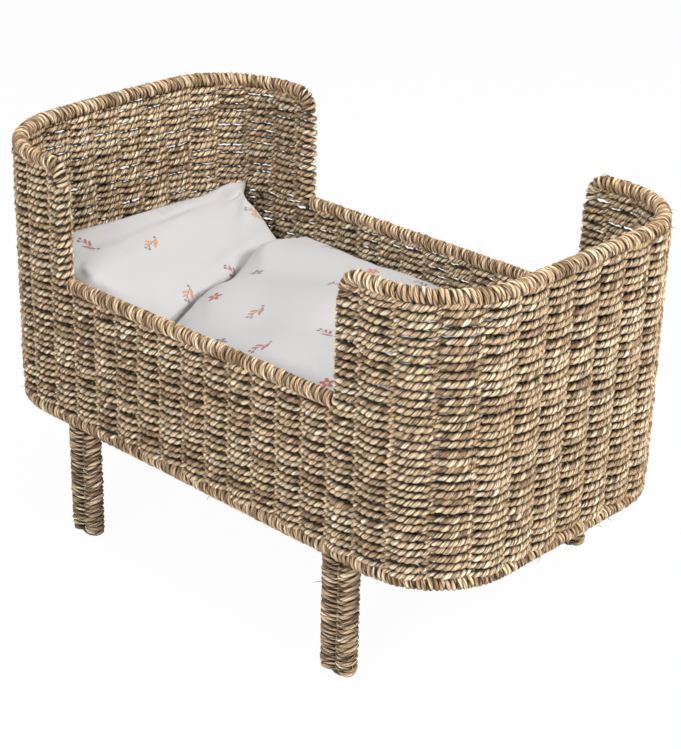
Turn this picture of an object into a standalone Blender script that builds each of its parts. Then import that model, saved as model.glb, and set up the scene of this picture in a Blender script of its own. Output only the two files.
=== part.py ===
# Woven doll bed: a wire frame with rope woven through it, wrapped rims, wrapped hairpin legs, bedding.
# Metres, +Z up, the floor at z = 0, +Y towards the headboard, X across the bed, the origin below its middle.

import math

import bmesh
import bpy
import numpy as np
from mathutils import Matrix, Vector

# Plan of the wall, measured on the line through the middle of the uprights
WALL_HALF_LENGTH = 0.244
WALL_HALF_WIDTH = 0.136
CORNER_RADIUS = 0.066
WING_EDGE_Y = 0.150
LEG_HEIGHT = 0.1015

# Wires
FRAME_WIRE_RADIUS = 0.00175
UPRIGHT_RADIUS = 0.0012
LEG_WIRE_RADIUS = 0.00225
SEAT_GAP = 0.0003
WING_BEND_RADIUS = 0.012
HEAD_ARCH = 0.004

# Gaps between uprights. Their sum is odd, so one weaver alternates from course to course.
SIDE_GAPS = 12
HEAD_GAPS = 15
FOOT_GAPS = 14

# Weaving rope, a flattened strand
COURSE_HALF_HEIGHT = 0.0036
COURSE_HALF_THICKNESS = 0.0029
COURSE_PITCH = 0.00806
COURSE_CLEARANCE = 0.0005
SIDE_COURSES = 13
UPPER_COURSES = 12
STEP_START = 13
STEP_GAPS = 3
TURN_SHARES = (0.3, 0.7)

# Wrapping of the rims
WRAP_RADIUS = 0.0062
WRAP_CLEARANCE = 0.0004
UPRIGHT_SLOT_HALF_WIDTH = 0.0021
WRAP_END_CLEARANCE = 0.0005

# Legs: hairpins of wire, each with a rope wound round its two rods in figures of eight
LEG_ROD_SPACING = 0.018
FOOT_LEG_Y = -0.152
HEAD_LEG_Y = 0.132
LEG_LOOPS = 10
LEG_ROPE_HALF_HEIGHT = 0.0033
LEG_ROPE_HALF_THICKNESS = 0.0026
LEG_ROPE_CROSSING_HALF_HEIGHT = 0.0015
LEG_ROPE_CLEARANCE = 0.0008
LEG_TURN_POINTS = 4
LEG_TURN_SHARE = 0.58
LEG_ROPE_START_HEIGHT = 0.0115
LEG_BEND_SEGMENTS = 7

# Base
BASE_WIRE_RADIUS = 0.0012
WELD_DEPTH = 0.0005
MAT_THICKNESS = 0.006
MAT_RIB_PITCH = 0.0150
MAT_RIB_DEPTH = 0.0015
MAT_WALL_CLEARANCE = 0.0006
CORNER_WIRES = 2

# Bedding
BEDDING_GAP = 0.0005
MATTRESS_WALL_GAP = 0.0030
MATTRESS_THICKNESS = 0.034
MATTRESS_CROWN = 0.0015
DUVET_WALL_GAP = 0.0025
DUVET_HEIGHT = 0.048
DUVET_CROWN = 0.014
DUVET_PILLOW_SPACE_LEFT = 0.008
DUVET_PILLOW_SPACE_RIGHT = 0.002
DUVET_HEAD_CORNER_RADIUS = 0.024
DUVET_SWELL = 0.0035
DUVET_SWELL_LENGTH = 0.062
PILLOW_SIDE_SPACE = 0.022
PILLOW_HALF_THICKNESS = 0.019
PILLOW_RISE = 0.072
PILLOW_REACH_LEFT = 0.156
PILLOW_REACH_RIGHT = 0.088
PILLOW_CORNER_GAP = 0.0009

# How finely round forms are cut
CORNER_SEGMENTS = 6
WING_BEND_SEGMENTS = 3
HEAD_ARCH_SEGMENTS = 4
WIRE_SIDES = 6
LEG_WIRE_SIDES = 8
WRAP_OUTER_POINTS = 7
WRAP_INNER_POINTS = 4
BORE_CORNER_SHARE = 1.4

# Heights and offsets worked out from the sizes above
RING_HEIGHT = LEG_HEIGHT
BAND_HEIGHT = WRAP_RADIUS + WRAP_CLEARANCE + COURSE_HALF_HEIGHT
FIRST_COURSE_HEIGHT = RING_HEIGHT + BAND_HEIGHT
LAST_SIDE_COURSE_HEIGHT = FIRST_COURSE_HEIGHT + (SIDE_COURSES - 1) * COURSE_PITCH
SIDE_RAIL_HEIGHT = LAST_SIDE_COURSE_HEIGHT + BAND_HEIGHT
END_RAIL_HEIGHT = LAST_SIDE_COURSE_HEIGHT + UPPER_COURSES * COURSE_PITCH + BAND_HEIGHT
WEAVE_OFFSET = UPRIGHT_RADIUS + COURSE_CLEARANCE + COURSE_HALF_THICKNESS
EDGE_WEAVE_OFFSET = FRAME_WIRE_RADIUS + COURSE_CLEARANCE + COURSE_HALF_THICKNESS
WALL_INNER_OFFSET = EDGE_WEAVE_OFFSET + COURSE_HALF_THICKNESS
WRAP_BORE_RADIUS = (FRAME_WIRE_RADIUS + WRAP_CLEARANCE) * BORE_CORNER_SHARE
BASE_WIRE_HEIGHT = RING_HEIGHT + FRAME_WIRE_RADIUS + BASE_WIRE_RADIUS - WELD_DEPTH
MAT_BOTTOM = BASE_WIRE_HEIGHT + BASE_WIRE_RADIUS + SEAT_GAP
MATTRESS_BOTTOM = MAT_BOTTOM + MAT_THICKNESS + SEAT_GAP
MATTRESS_TOP = MATTRESS_BOTTOM + MATTRESS_THICKNESS + MATTRESS_CROWN
PILLOW_HALF_LENGTH = WALL_HALF_WIDTH - PILLOW_SIDE_SPACE
PILLOW_BOTTOM_LEFT_Y = WALL_HALF_LENGTH - PILLOW_REACH_LEFT
PILLOW_BOTTOM_RIGHT_Y = WALL_HALF_LENGTH - PILLOW_REACH_RIGHT
DUVET_HEAD_LEFT_Y = PILLOW_BOTTOM_LEFT_Y - DUVET_PILLOW_SPACE_LEFT
DUVET_HEAD_RIGHT_Y = PILLOW_BOTTOM_RIGHT_Y - DUVET_PILLOW_SPACE_RIGHT

UP = Vector((0, 0, 1))
FRAME_COLOUR = (0.16, 0.16, 0.15)
ROPE_COLOUR = (0.47, 0.33, 0.18)
RIM_COLOUR = (0.55, 0.40, 0.24)
LEG_ROPE_COLOUR = (0.42, 0.30, 0.17)
COTTON_COLOUR = (0.82, 0.81, 0.80)


# Scene helpers

def clear_scene():
    for item in list(bpy.data.objects):
        bpy.data.objects.remove(item, do_unlink=True)


def make_material(name, colour, roughness, metallic):
    material = bpy.data.materials.new(name)
    material.use_nodes = True
    shader = material.node_tree.nodes["Principled BSDF"]
    shader.inputs["Base Color"].default_value = (*colour, 1)
    shader.inputs["Roughness"].default_value = roughness
    shader.inputs["Metallic"].default_value = metallic
    return material


def finish_mesh(form, name, colour, roughness=0.8, metallic=0.0, sharp_share=0.3):
    """Turns a bmesh into a named object with outward faces, soft shading and its own material."""
    bmesh.ops.recalc_face_normals(form, faces=form.faces)
    if form.calc_volume(signed=True) < 0:
        bmesh.ops.reverse_faces(form, faces=form.faces)
    mesh = bpy.data.meshes.new(name)
    form.to_mesh(mesh)
    form.free()
    mesh.shade_smooth()
    mesh.set_sharp_from_angle(angle=math.pi * sharp_share)
    mesh.materials.append(make_material(name, colour, roughness, metallic))
    piece = bpy.data.objects.new(name, mesh)
    bpy.context.scene.collection.objects.link(piece)
    return piece


def add_loft(form, rings, closed=False):
    """Skins a row of rings with the same number of points, and caps both ends unless it is closed."""
    rows = [[form.verts.new(point) for point in ring] for ring in rings]
    pairs = list(zip(rows, rows[1:]))
    if closed:
        pairs.append((rows[-1], rows[0]))
    for near, far in pairs:
        for i in range(len(near)):
            j = (i + 1) % len(near)
            form.faces.new((near[i], near[j], far[j], far[i]))
    if not closed:
        form.faces.new(list(reversed(rows[0])))
        form.faces.new(rows[-1])


def add_domed_loft(form, rings, low_point, high_point):
    """Skins rings from bottom to top and closes both ends on a middle point."""
    rows = [[form.verts.new(point) for point in ring] for ring in rings]
    for near, far in zip(rows, rows[1:]):
        for i in range(len(near)):
            j = (i + 1) % len(near)
            form.faces.new((near[i], near[j], far[j], far[i]))
    for row, tip in ((rows[0], low_point), (rows[-1], high_point)):
        middle = form.verts.new(tip)
        for i in range(len(row)):
            form.faces.new((row[i], row[(i + 1) % len(row)], middle))


def add_boolean(piece, form, name, operation):
    """Joins or cuts a piece with the closed bodies of another form, kept as a hidden guide."""
    tool = finish_mesh(form, name, FRAME_COLOUR)
    tool.hide_render = True
    tool.display_type = "WIRE"
    change = piece.modifiers.new(name, "BOOLEAN")
    change.operation = operation
    change.object = tool


# Plan of the wall: a rounded rectangle, run clockwise from above, from the middle of the left side

def straight_lengths():
    side = WALL_HALF_LENGTH - CORNER_RADIUS
    end = 2 * (WALL_HALF_WIDTH - CORNER_RADIUS)
    return side, end, CORNER_RADIUS * math.pi / 2


def wall_length():
    side, end, arc = straight_lengths()
    return 4 * side + 2 * end + 4 * arc


def wall_point(distance):
    """The point of the wall's middle line at a distance along it, and the outward direction there."""
    side, end, arc = straight_lengths()
    half = wall_length() / 2
    distance = distance % (2 * half)
    turned = distance >= half
    run = distance - half if turned else distance
    corner_y = WALL_HALF_LENGTH - CORNER_RADIUS
    corner_x = WALL_HALF_WIDTH - CORNER_RADIUS
    if run <= side:
        point, out = Vector((-WALL_HALF_WIDTH, run, 0)), Vector((-1, 0, 0))
    elif run <= side + arc:
        angle = (run - side) / CORNER_RADIUS
        out = Vector((-math.cos(angle), math.sin(angle), 0))
        point = Vector((-corner_x, corner_y, 0)) + out * CORNER_RADIUS
    elif run <= side + arc + end:
        point, out = Vector((run - side - arc - corner_x, WALL_HALF_LENGTH, 0)), Vector((0, 1, 0))
    elif run <= side + arc + end + arc:
        angle = (run - side - arc - end) / CORNER_RADIUS
        out = Vector((math.sin(angle), math.cos(angle), 0))
        point = Vector((corner_x, corner_y, 0)) + out * CORNER_RADIUS
    else:
        point, out = Vector((WALL_HALF_WIDTH, 2 * side + end + 2 * arc - run, 0)), Vector((1, 0, 0))
    if turned:
        point, out = Vector((-point.x, -point.y, 0)), Vector((-out.x, -out.y, 0))
    return point, out


def upright_places():
    """Distances of all uprights along the wall, from the left wing edge at the head, and the wing edges."""
    half = wall_length() / 2
    end_run = half - 2 * WING_EDGE_Y
    side_run = 2 * WING_EDGE_Y
    places = []
    edges = []
    start = WING_EDGE_Y
    runs = ((end_run, HEAD_GAPS), (side_run, SIDE_GAPS), (end_run, FOOT_GAPS), (side_run, SIDE_GAPS))
    for run, gaps in runs:
        edges.append(len(places))
        places += [start + run * i / gaps for i in range(gaps)]
        start += run
    return places, edges


PLACES, EDGES = upright_places()
UPRIGHT_COUNT = len(PLACES)


def arched_height(point, arch):
    """Height of an end rail over a point of the wall: level at the sides, highest in the middle."""
    return END_RAIL_HEIGHT + arch * (1 - (point.x / WALL_HALF_WIDTH) ** 2)


# Tubes along the wall

def section_ring(centre, across, above, radius, sides):
    """A regular ring with a flat side down, in the plane of two directions."""
    ring = []
    for i in range(sides):
        angle = math.tau * (i + 0.5) / sides - math.pi / 2
        ring.append(centre + across * (radius * math.cos(angle)) + above * (radius * math.sin(angle)))
    return ring


def path_frames(points, outs):
    """For each point of a path, the outward direction and the direction square to it and to the path."""
    frames = []
    for i, (point, out) in enumerate(zip(points, outs)):
        before = (point - points[i - 1]).normalized() if i else Vector()
        after = (points[i + 1] - point).normalized() if i + 1 < len(points) else Vector()
        along = (before + after).normalized()
        above = along.cross(out)
        frames.append((point, out, above.normalized()))
    return frames


def end_rail_path(first_edge, arch, low_height):
    """Wire of an end wall: up one wing edge, round a bend, over the end and down the other edge."""
    half = wall_length() / 2
    start = PLACES[first_edge]
    finish = start + half - 2 * WING_EDGE_Y
    side, end, arc = straight_lengths()
    reach = side - WING_EDGE_Y
    rise = END_RAIL_HEIGHT - WING_BEND_RADIUS
    distances = [(start, low_height), (start, rise)]
    for i in range(1, WING_BEND_SEGMENTS + 1):
        angle = math.pi / 2 * i / WING_BEND_SEGMENTS
        inward = WING_BEND_RADIUS * (1 - math.cos(angle))
        distances.append((start + inward, rise + WING_BEND_RADIUS * math.sin(angle)))
    level = [reach + arc * i / CORNER_SEGMENTS for i in range(CORNER_SEGMENTS + 1)]
    level += [reach + arc + end * i / HEAD_ARCH_SEGMENTS for i in range(1, HEAD_ARCH_SEGMENTS)]
    level += [reach + arc + end + arc * i / CORNER_SEGMENTS for i in range(CORNER_SEGMENTS + 1)]
    rising = list(distances)
    distances += [(start + run, END_RAIL_HEIGHT) for run in level]
    distances += [(start + finish - place, height) for place, height in reversed(rising)]
    points, outs = [], []
    for place, height in distances:
        point, out = wall_point(place)
        if height >= END_RAIL_HEIGHT:
            height = arched_height(point, arch)
        points.append(Vector((point.x, point.y, height)))
        outs.append(out)
    return points, outs


def sleeve_section(start_angle, end_angle, inner_start, inner_end):
    """Outer arc one way and bore the other way, as pairs of radius and angle."""
    section = []
    for i in range(WRAP_OUTER_POINTS):
        share = i / (WRAP_OUTER_POINTS - 1)
        section.append((WRAP_RADIUS, start_angle + (end_angle - start_angle) * share))
    for i in range(WRAP_INNER_POINTS):
        share = i / (WRAP_INNER_POINTS - 1)
        section.append((WRAP_BORE_RADIUS, inner_end + (inner_start - inner_end) * share))
    return section


def slotted_section():
    """Sleeve with one slot on its under side, where the uprights reach the rail."""
    outer = math.asin(UPRIGHT_SLOT_HALF_WIDTH / WRAP_RADIUS)
    inner = math.asin(UPRIGHT_SLOT_HALF_WIDTH / WRAP_BORE_RADIUS)
    low = -math.pi / 2
    return sleeve_section(low + outer, low + math.tau - outer, low + inner, low + math.tau - inner)


def base_section():
    """Sleeve of the bottom ring, open upwards and inwards, where uprights and base wires reach the ring."""
    slot = FRAME_WIRE_RADIUS + SEAT_GAP
    sill = BASE_WIRE_HEIGHT - BASE_WIRE_RADIUS - SEAT_GAP - RING_HEIGHT
    outer_start = math.acos(slot / WRAP_RADIUS)
    inner_start = math.acos(slot / WRAP_BORE_RADIUS)
    outer_end = -math.pi - math.asin(sill / WRAP_RADIUS)
    inner_end = -math.pi - math.asin(sill / WRAP_BORE_RADIUS)
    return sleeve_section(outer_start, outer_end, inner_start, inner_end)


def sleeve_ring(frame, section):
    point, out, above = frame
    return [point + out * (r * math.cos(angle)) + above * (r * math.sin(angle)) for r, angle in section]


# Frame

def ring_places():
    """Distances that follow the closed wall: the ends of its straights and the points of its corners."""
    side, end, arc = straight_lengths()
    places = []
    for start in (side, side + arc + end):
        places += [start + arc * i / CORNER_SEGMENTS for i in range(CORNER_SEGMENTS + 1)]
    half = wall_length() / 2
    return places + [half + place for place in places]


def wire_between(form, low, high, across, above, radius):
    add_loft(form, [section_ring(point, across, above, radius, WIRE_SIDES) for point in (low, high)])


def add_uprights(frame, indices, arch):
    """Welds uprights under a rail, from just over the bottom ring to the middle of the rail."""
    form = bmesh.new()
    for index in indices:
        point, out = wall_point(PLACES[index])
        low = Vector((point.x, point.y, RING_HEIGHT + FRAME_WIRE_RADIUS + SEAT_GAP))
        top = SIDE_RAIL_HEIGHT if abs(point.y) < WING_EDGE_Y else arched_height(point, arch)
        high = Vector((point.x, point.y, top))
        wire_between(form, low, high, Vector((out.y, -out.x, 0)), out, UPRIGHT_RADIUS)
    add_boolean(frame, form, frame.name + "_uprights", "UNION")


def build_end_frame(name, first_edge, gaps, arch):
    """Rail of an end wall with its two wing edges, and the uprights welded under it."""
    points, outs = end_rail_path(first_edge, arch, RING_HEIGHT + FRAME_WIRE_RADIUS + SEAT_GAP)
    form = bmesh.new()
    rings = [
        section_ring(point, out, above, FRAME_WIRE_RADIUS, WIRE_SIDES)
        for point, out, above in path_frames(points, outs)
    ]
    add_loft(form, rings)
    frame = finish_mesh(form, name, FRAME_COLOUR, 0.45, 0.8)
    add_uprights(frame, range(first_edge + 1, first_edge + gaps), arch)


def build_side_frame(name, side, first_edge):
    """Side rail between two wing edges, with its uprights."""
    reach = WING_EDGE_Y - FRAME_WIRE_RADIUS - SEAT_GAP
    form = bmesh.new()
    low = Vector((side * WALL_HALF_WIDTH, -reach, SIDE_RAIL_HEIGHT))
    high = Vector((side * WALL_HALF_WIDTH, reach, SIDE_RAIL_HEIGHT))
    wire_between(form, low, high, Vector((1, 0, 0)), UP, FRAME_WIRE_RADIUS)
    frame = finish_mesh(form, name, FRAME_COLOUR, 0.45, 0.8)
    add_uprights(frame, range(first_edge + 1, first_edge + SIDE_GAPS), 0)


def base_wire_lines():
    """Places of the base wires: each spans the ring between two uprights of its sides."""
    half = wall_length() / 2
    lines = [WING_EDGE_Y - 2 * WING_EDGE_Y * (i + 0.5) / SIDE_GAPS for i in range(SIDE_GAPS)]
    for gaps, turn in ((HEAD_GAPS, 0), (FOOT_GAPS, half)):
        step = (half - 2 * WING_EDGE_Y) / gaps
        lines += [WING_EDGE_Y + step * (i + 0.5) + turn for i in range(CORNER_WIRES)]
    return [wall_point(line)[0] for line in lines]


def build_base_frame():
    """Bottom ring with the wires that cross it welded on top."""
    form = bmesh.new()
    rings = []
    for place in ring_places():
        point, out = wall_point(place)
        centre = Vector((point.x, point.y, RING_HEIGHT))
        rings.append(section_ring(centre, out, UP, FRAME_WIRE_RADIUS, WIRE_SIDES))
    add_loft(form, rings, closed=True)
    frame = finish_mesh(form, "base_frame", FRAME_COLOUR, 0.45, 0.8)
    wires = bmesh.new()
    for point in base_wire_lines():
        ends = [Vector((x, point.y, BASE_WIRE_HEIGHT)) for x in (-abs(point.x), abs(point.x))]
        wire_between(wires, ends[0], ends[1], Vector((0, 1, 0)), UP, BASE_WIRE_RADIUS)
    add_boolean(frame, wires, "base_frame_wires", "UNION")


# Weave

def course_ring(point, out, offset, height, side, heading=1):
    """Section of the rope beside an upright, outside it for side 1 and inside for side -1.

    The heading is 1 where the rope runs clockwise and -1 where it runs back, so its section turns with it."""
    centre = Vector((point.x, point.y, height)) + out * (offset * side)
    return diamond(centre, out * heading, COURSE_HALF_THICKNESS, COURSE_HALF_HEIGHT)


def diamond(centre, across, half_thickness, half_height):
    return [
        centre + across * half_thickness,
        centre + UP * half_height,
        centre - across * half_thickness,
        centre - UP * half_height,
    ]


def weave_offset(index):
    return EDGE_WEAVE_OFFSET if index % UPRIGHT_COUNT in EDGES else WEAVE_OFFSET


def build_lower_weave():
    """One rope from the bottom ring to the side rails: level courses that step up at one head corner."""
    rings = []
    for step in range(STEP_GAPS, SIDE_COURSES * UPRIGHT_COUNT + 1):
        loop, passed = divmod(step, UPRIGHT_COUNT)
        index = (STEP_START + step) % UPRIGHT_COUNT
        level = loop - 1 + min(passed, STEP_GAPS) / STEP_GAPS
        point, out = wall_point(PLACES[index])
        side = -1 if step % 2 else 1
        height = FIRST_COURSE_HEIGHT + level * COURSE_PITCH
        rings.append(course_ring(point, out, weave_offset(index), height, side))
    form = bmesh.new()
    add_loft(form, rings)
    finish_mesh(form, "weave_lower", ROPE_COLOUR, 0.85, 0, 0.45)
    return rings


def turn_rings(index, away, out, height, side, heading):
    """The rope's turn round an upright at the end of a course, up to the next course."""
    point, _ = wall_point(PLACES[index])
    reach = weave_offset(index)
    rings = []
    for share in TURN_SHARES:
        angle = math.pi * share
        spoke = out * (math.cos(angle) * side) + away * math.sin(angle)
        centre = Vector((point.x, point.y, height + COURSE_PITCH * share)) + spoke * reach
        across = spoke * (side * heading)
        rings.append(diamond(centre, across, COURSE_HALF_THICKNESS, COURSE_HALF_HEIGHT))
    return rings


def course_span(course, gaps):
    """Uprights that a course of an upper weave passes, counted from the edge where it starts."""
    first, last = 0, gaps
    if course in (0, UPPER_COURSES - 1):
        first, last = 1, gaps - 1
    elif course == 1 or course == UPPER_COURSES - 2:
        last = gaps - 1
    span = list(range(first, last + 1))
    return span[::-1] if course % 2 else span


def build_upper_weave(name, first_edge, gaps, from_left):
    """One rope to and fro over an end wall, from the side rails' height to its rim."""
    rings = []
    for course in range(UPPER_COURSES):
        span = course_span(course, gaps)
        if not from_left:
            span = [gaps - i for i in span]
        height = LAST_SIDE_COURSE_HEIGHT + (course + 1) * COURSE_PITCH
        heading = 1 if span[-1] > span[0] else -1
        for i in span:
            point, out = wall_point(PLACES[first_edge + i])
            side = 1 if (i + course) % 2 else -1
            offset = weave_offset(first_edge + i)
            rings.append(course_ring(point, out, offset, height, side, heading))
        if course + 1 < UPPER_COURSES:
            last = span[-1]
            point, out = wall_point(PLACES[first_edge + last])
            away = Vector((out.y, -out.x, 0)) * heading
            side = 1 if (last + course) % 2 else -1
            rings += turn_rings(first_edge + last, away, out, height, side, heading)
    form = bmesh.new()
    add_loft(form, rings)
    finish_mesh(form, name, ROPE_COLOUR, 0.85, 0, 0.45)
    return rings


def build_base_mat():
    """Ribbed mat of rope rows on the base wires, its outline inside the woven wall."""
    inset = WALL_INNER_OFFSET + MAT_WALL_CLEARANCE
    half_width = WALL_HALF_WIDTH - inset
    half_length = WALL_HALF_LENGTH - inset
    radius = CORNER_RADIUS - inset
    lines = 2 * round(half_width / MAT_RIB_PITCH)
    rings = []
    for i in range(2 * lines + 1):
        x = half_width * (i / lines - 1)
        past = max(0, abs(x) - (half_width - radius))
        y = half_length - radius + math.sqrt(max(0, radius ** 2 - past ** 2))
        relief = 0 if i % 2 else MAT_RIB_DEPTH
        low = MAT_BOTTOM + relief
        high = MAT_BOTTOM + MAT_THICKNESS - relief
        rings.append([Vector((x, -y, low)), Vector((x, y, low)), Vector((x, y, high)), Vector((x, -y, high))])
    form = bmesh.new()
    add_loft(form, rings)
    finish_mesh(form, "base_mat", ROPE_COLOUR, 0.85)


# Rim wraps

def leg_places():
    return [(side, y) for side in (-1, 1) for y in (FOOT_LEG_Y, HEAD_LEG_Y)]


def leg_name(side, y):
    return ("foot_" if y < 0 else "head_") + ("left" if side < 0 else "right")


def build_base_wrap():
    """Wrapping of the bottom ring, with a bore for each rod of the legs."""
    section = base_section()
    rings = []
    for place in ring_places():
        point, out = wall_point(place)
        rings.append(sleeve_ring((Vector((point.x, point.y, RING_HEIGHT)), out, UP), section))
    form = bmesh.new()
    add_loft(form, rings, closed=True)
    wrap = finish_mesh(form, "base_rim_wrap", RIM_COLOUR, 0.85)
    cutter_form = bmesh.new()
    for side, y in leg_places():
        for rod in (-LEG_ROD_SPACING / 2, LEG_ROD_SPACING / 2):
            bottom = RING_HEIGHT - 2 * WRAP_RADIUS
            across = Vector((1, 0, 0))
            along = Vector((0, 1, 0))
            radius = LEG_WIRE_RADIUS + SEAT_GAP
            bore = []
            for height in (bottom, RING_HEIGHT):
                centre = Vector((side * WALL_HALF_WIDTH, y + rod, height))
                bore.append(section_ring(centre, across, along, radius, LEG_WIRE_SIDES))
            add_loft(cutter_form, bore)
    add_boolean(wrap, cutter_form, "leg_rod_bores", "DIFFERENCE")


def build_end_wrap(name, first_edge, arch):
    """Wrapping of an end rail, from the foot of one wing bend to the other."""
    points, outs = end_rail_path(first_edge, arch, RING_HEIGHT)
    frames = path_frames(points, outs)[1:-1]
    section = slotted_section()
    form = bmesh.new()
    add_loft(form, [sleeve_ring(frame, section) for frame in frames])
    finish_mesh(form, name, RIM_COLOUR, 0.85)


def build_side_wrap(name, side):
    reach = WING_EDGE_Y - EDGE_WEAVE_OFFSET - COURSE_HALF_THICKNESS - WRAP_END_CLEARANCE
    section = slotted_section()
    form = bmesh.new()
    rings = []
    for y in (-reach, reach):
        centre = Vector((side * WALL_HALF_WIDTH, y, SIDE_RAIL_HEIGHT))
        rings.append(sleeve_ring((centre, Vector((1, 0, 0)), UP), section))
    add_loft(form, rings)
    finish_mesh(form, name, RIM_COLOUR, 0.85)


# Legs

def build_hairpin(side, y):
    """Bent wire leg: two rods up to the bottom ring and a bend that stands on the floor."""
    bend = LEG_ROD_SPACING / 2
    half_segment = math.pi / LEG_BEND_SEGMENTS / 2
    flat = LEG_WIRE_RADIUS * math.cos(math.pi / LEG_WIRE_SIDES)
    centre_height = (bend + flat) * math.cos(half_segment)
    top = RING_HEIGHT - FRAME_WIRE_RADIUS - SEAT_GAP
    x = side * WALL_HALF_WIDTH
    sections = [(y - bend, top, Vector((0, -1, 0)))]
    for i in range(LEG_BEND_SEGMENTS + 1):
        angle = math.pi * i / LEG_BEND_SEGMENTS
        spoke = Vector((0, -math.cos(angle), -math.sin(angle)))
        sections.append((y + spoke.y * bend, centre_height + spoke.z * bend, spoke))
    sections.append((y + bend, top, Vector((0, 1, 0))))
    rings = []
    for place, height, spoke in sections:
        centre = Vector((x, place, height))
        rings.append(section_ring(centre, Vector((1, 0, 0)), -spoke, LEG_WIRE_RADIUS, LEG_WIRE_SIDES))
    form = bmesh.new()
    add_loft(form, rings)
    finish_mesh(form, "leg_hairpin_" + leg_name(side, y), FRAME_COLOUR, 0.45, 0.8)


def winding_rings():
    """One rope wound in figures of eight round two rods at y = 0, as sections from bottom to top."""
    rod = LEG_ROD_SPACING / 2
    reach = LEG_WIRE_RADIUS + LEG_ROPE_CLEARANCE + LEG_ROPE_HALF_THICKNESS
    top = RING_HEIGHT - WRAP_RADIUS - SEAT_GAP - LEG_ROPE_HALF_HEIGHT
    stations = []
    for hand in (1, -1):
        stations.append((Vector(), Vector((-hand, 0, 0)), LEG_ROPE_CROSSING_HALF_HEIGHT))
        for i in range(LEG_TURN_POINTS):
            angle = math.pi * LEG_TURN_SHARE * (2 * i / (LEG_TURN_POINTS - 1) - 1)
            spoke = Vector((math.sin(angle), hand * math.cos(angle), 0))
            stations.append((Vector((0, hand * rod, 0)) + spoke * reach, spoke * hand, LEG_ROPE_HALF_HEIGHT))
    count = len(stations)
    steps = range(1, LEG_LOOPS * count)
    climb = (top - LEG_ROPE_START_HEIGHT) / (len(steps) - 1)
    rings = []
    for step in steps:
        centre, across, half_height = stations[step % count]
        height = LEG_ROPE_START_HEIGHT + climb * (step - 1)
        rings.append(diamond(centre + UP * height, across, LEG_ROPE_HALF_THICKNESS, half_height))
    return rings


def build_leg_wrap(side, y, rings):
    shift = Vector((side * WALL_HALF_WIDTH, y, 0))
    form = bmesh.new()
    add_loft(form, [[point + shift for point in ring] for ring in rings])
    finish_mesh(form, "leg_wrap_" + leg_name(side, y), LEG_ROPE_COLOUR, 0.85)


def least_gap(rings, skip):
    """Least distance between points on the skins of two segments of a tube at least skip segments apart."""
    shares = (0, 0.5)
    samples = []
    for near, far in zip(rings, rings[1:]):
        spots = []
        for i in range(len(near)):
            j = (i + 1) % len(near)
            for share in shares:
                for edge in shares:
                    low = near[i].lerp(near[j], edge)
                    high = far[i].lerp(far[j], edge)
                    spots.append(low.lerp(high, share))
        samples.append([tuple(spot) for spot in spots])
    cloud = np.array(samples)
    least = math.inf
    for i in range(len(cloud) - skip):
        rest = cloud[i + skip:i + skip + 3 * UPRIGHT_COUNT].reshape(-1, 3)
        apart = np.linalg.norm(cloud[i][:, None] - rest[None], axis=2)
        least = min(least, float(apart.min()))
    return least


# Bedding

def rounded_outline(corners, radii, steps):
    """Outline of a polygon, counterclockwise, with an arc of its own radius at each corner."""
    outline = []
    count = len(corners)
    for i, corner in enumerate(corners):
        to_last = (corners[i - 1] - corner).normalized()
        to_next = (corners[(i + 1) % count] - corner).normalized()
        half = to_last.angle(to_next) / 2
        middle = corner + (to_last + to_next).normalized() * (radii[i] / math.sin(half))
        first = corner + to_last * (radii[i] / math.tan(half)) - middle
        turn = math.pi - 2 * half
        for k in range(steps + 1):
            outline.append(middle + Matrix.Rotation(turn * k / steps, 3, "Z") @ first)
    return outline


def inner_corners(gap):
    """Corners of the space inside the woven wall, a gap away from it, from the foot on the left."""
    x = WALL_HALF_WIDTH - WALL_INNER_OFFSET - gap
    y = WALL_HALF_LENGTH - WALL_INNER_OFFSET - gap
    return [Vector((-x, -y, 0)), Vector((x, -y, 0)), Vector((x, y, 0)), Vector((-x, y, 0))]


def shrink(outline, middle, inset):
    """Outline drawn in by about one distance everywhere, towards its middle."""
    reach = max((point - middle).length for point in outline)
    return [middle + (point - middle) * (1 - inset / reach) for point in outline]


# Each cushion profile is a row of shares: how far a ring is drawn in, and how high it lies
MATTRESS_PROFILE_SHARES = (
    (0.55, 0), (0.10, 0.10), (0, 0.30), (0.12, 0.50), (0, 0.70), (0.10, 0.90), (0.55, 1),
)
DUVET_PROFILE_SHARES = ((0.62, 0), (0.22, 0.08), (0, 0.34), (0.05, 0.62), (0.30, 0.86), (0.75, 1))
CROWN_RING_SHARES = (0.75, 0.45)
EDGE_DRAW_IN = 0.014


def build_mattress():
    radius = CORNER_RADIUS - WALL_INNER_OFFSET - MATTRESS_WALL_GAP
    outline = rounded_outline(inner_corners(MATTRESS_WALL_GAP), [radius] * 4, CORNER_SEGMENTS)
    rings = []
    for drawn, rise in MATTRESS_PROFILE_SHARES:
        height = MATTRESS_BOTTOM + MATTRESS_THICKNESS * rise
        rings.append([point + UP * height for point in shrink(outline, Vector(), EDGE_DRAW_IN * drawn)])
    for share in CROWN_RING_SHARES:
        height = MATTRESS_TOP - MATTRESS_CROWN * share ** 2
        rings.append([point * share + UP * height for point in outline])
    form = bmesh.new()
    add_domed_loft(form, rings, UP * MATTRESS_BOTTOM, UP * MATTRESS_TOP)
    finish_mesh(form, "mattress", COTTON_COLOUR, 0.9, 0, 0.5)


def duvet_swell(point):
    """Soft rise and fall of the duvet's top along and across the bed."""
    turn = math.tau / DUVET_SWELL_LENGTH
    return DUVET_SWELL * math.sin(point.y * turn / 2 + 1) * math.cos(point.x * turn / 2 - point.y * turn / 4)


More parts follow.
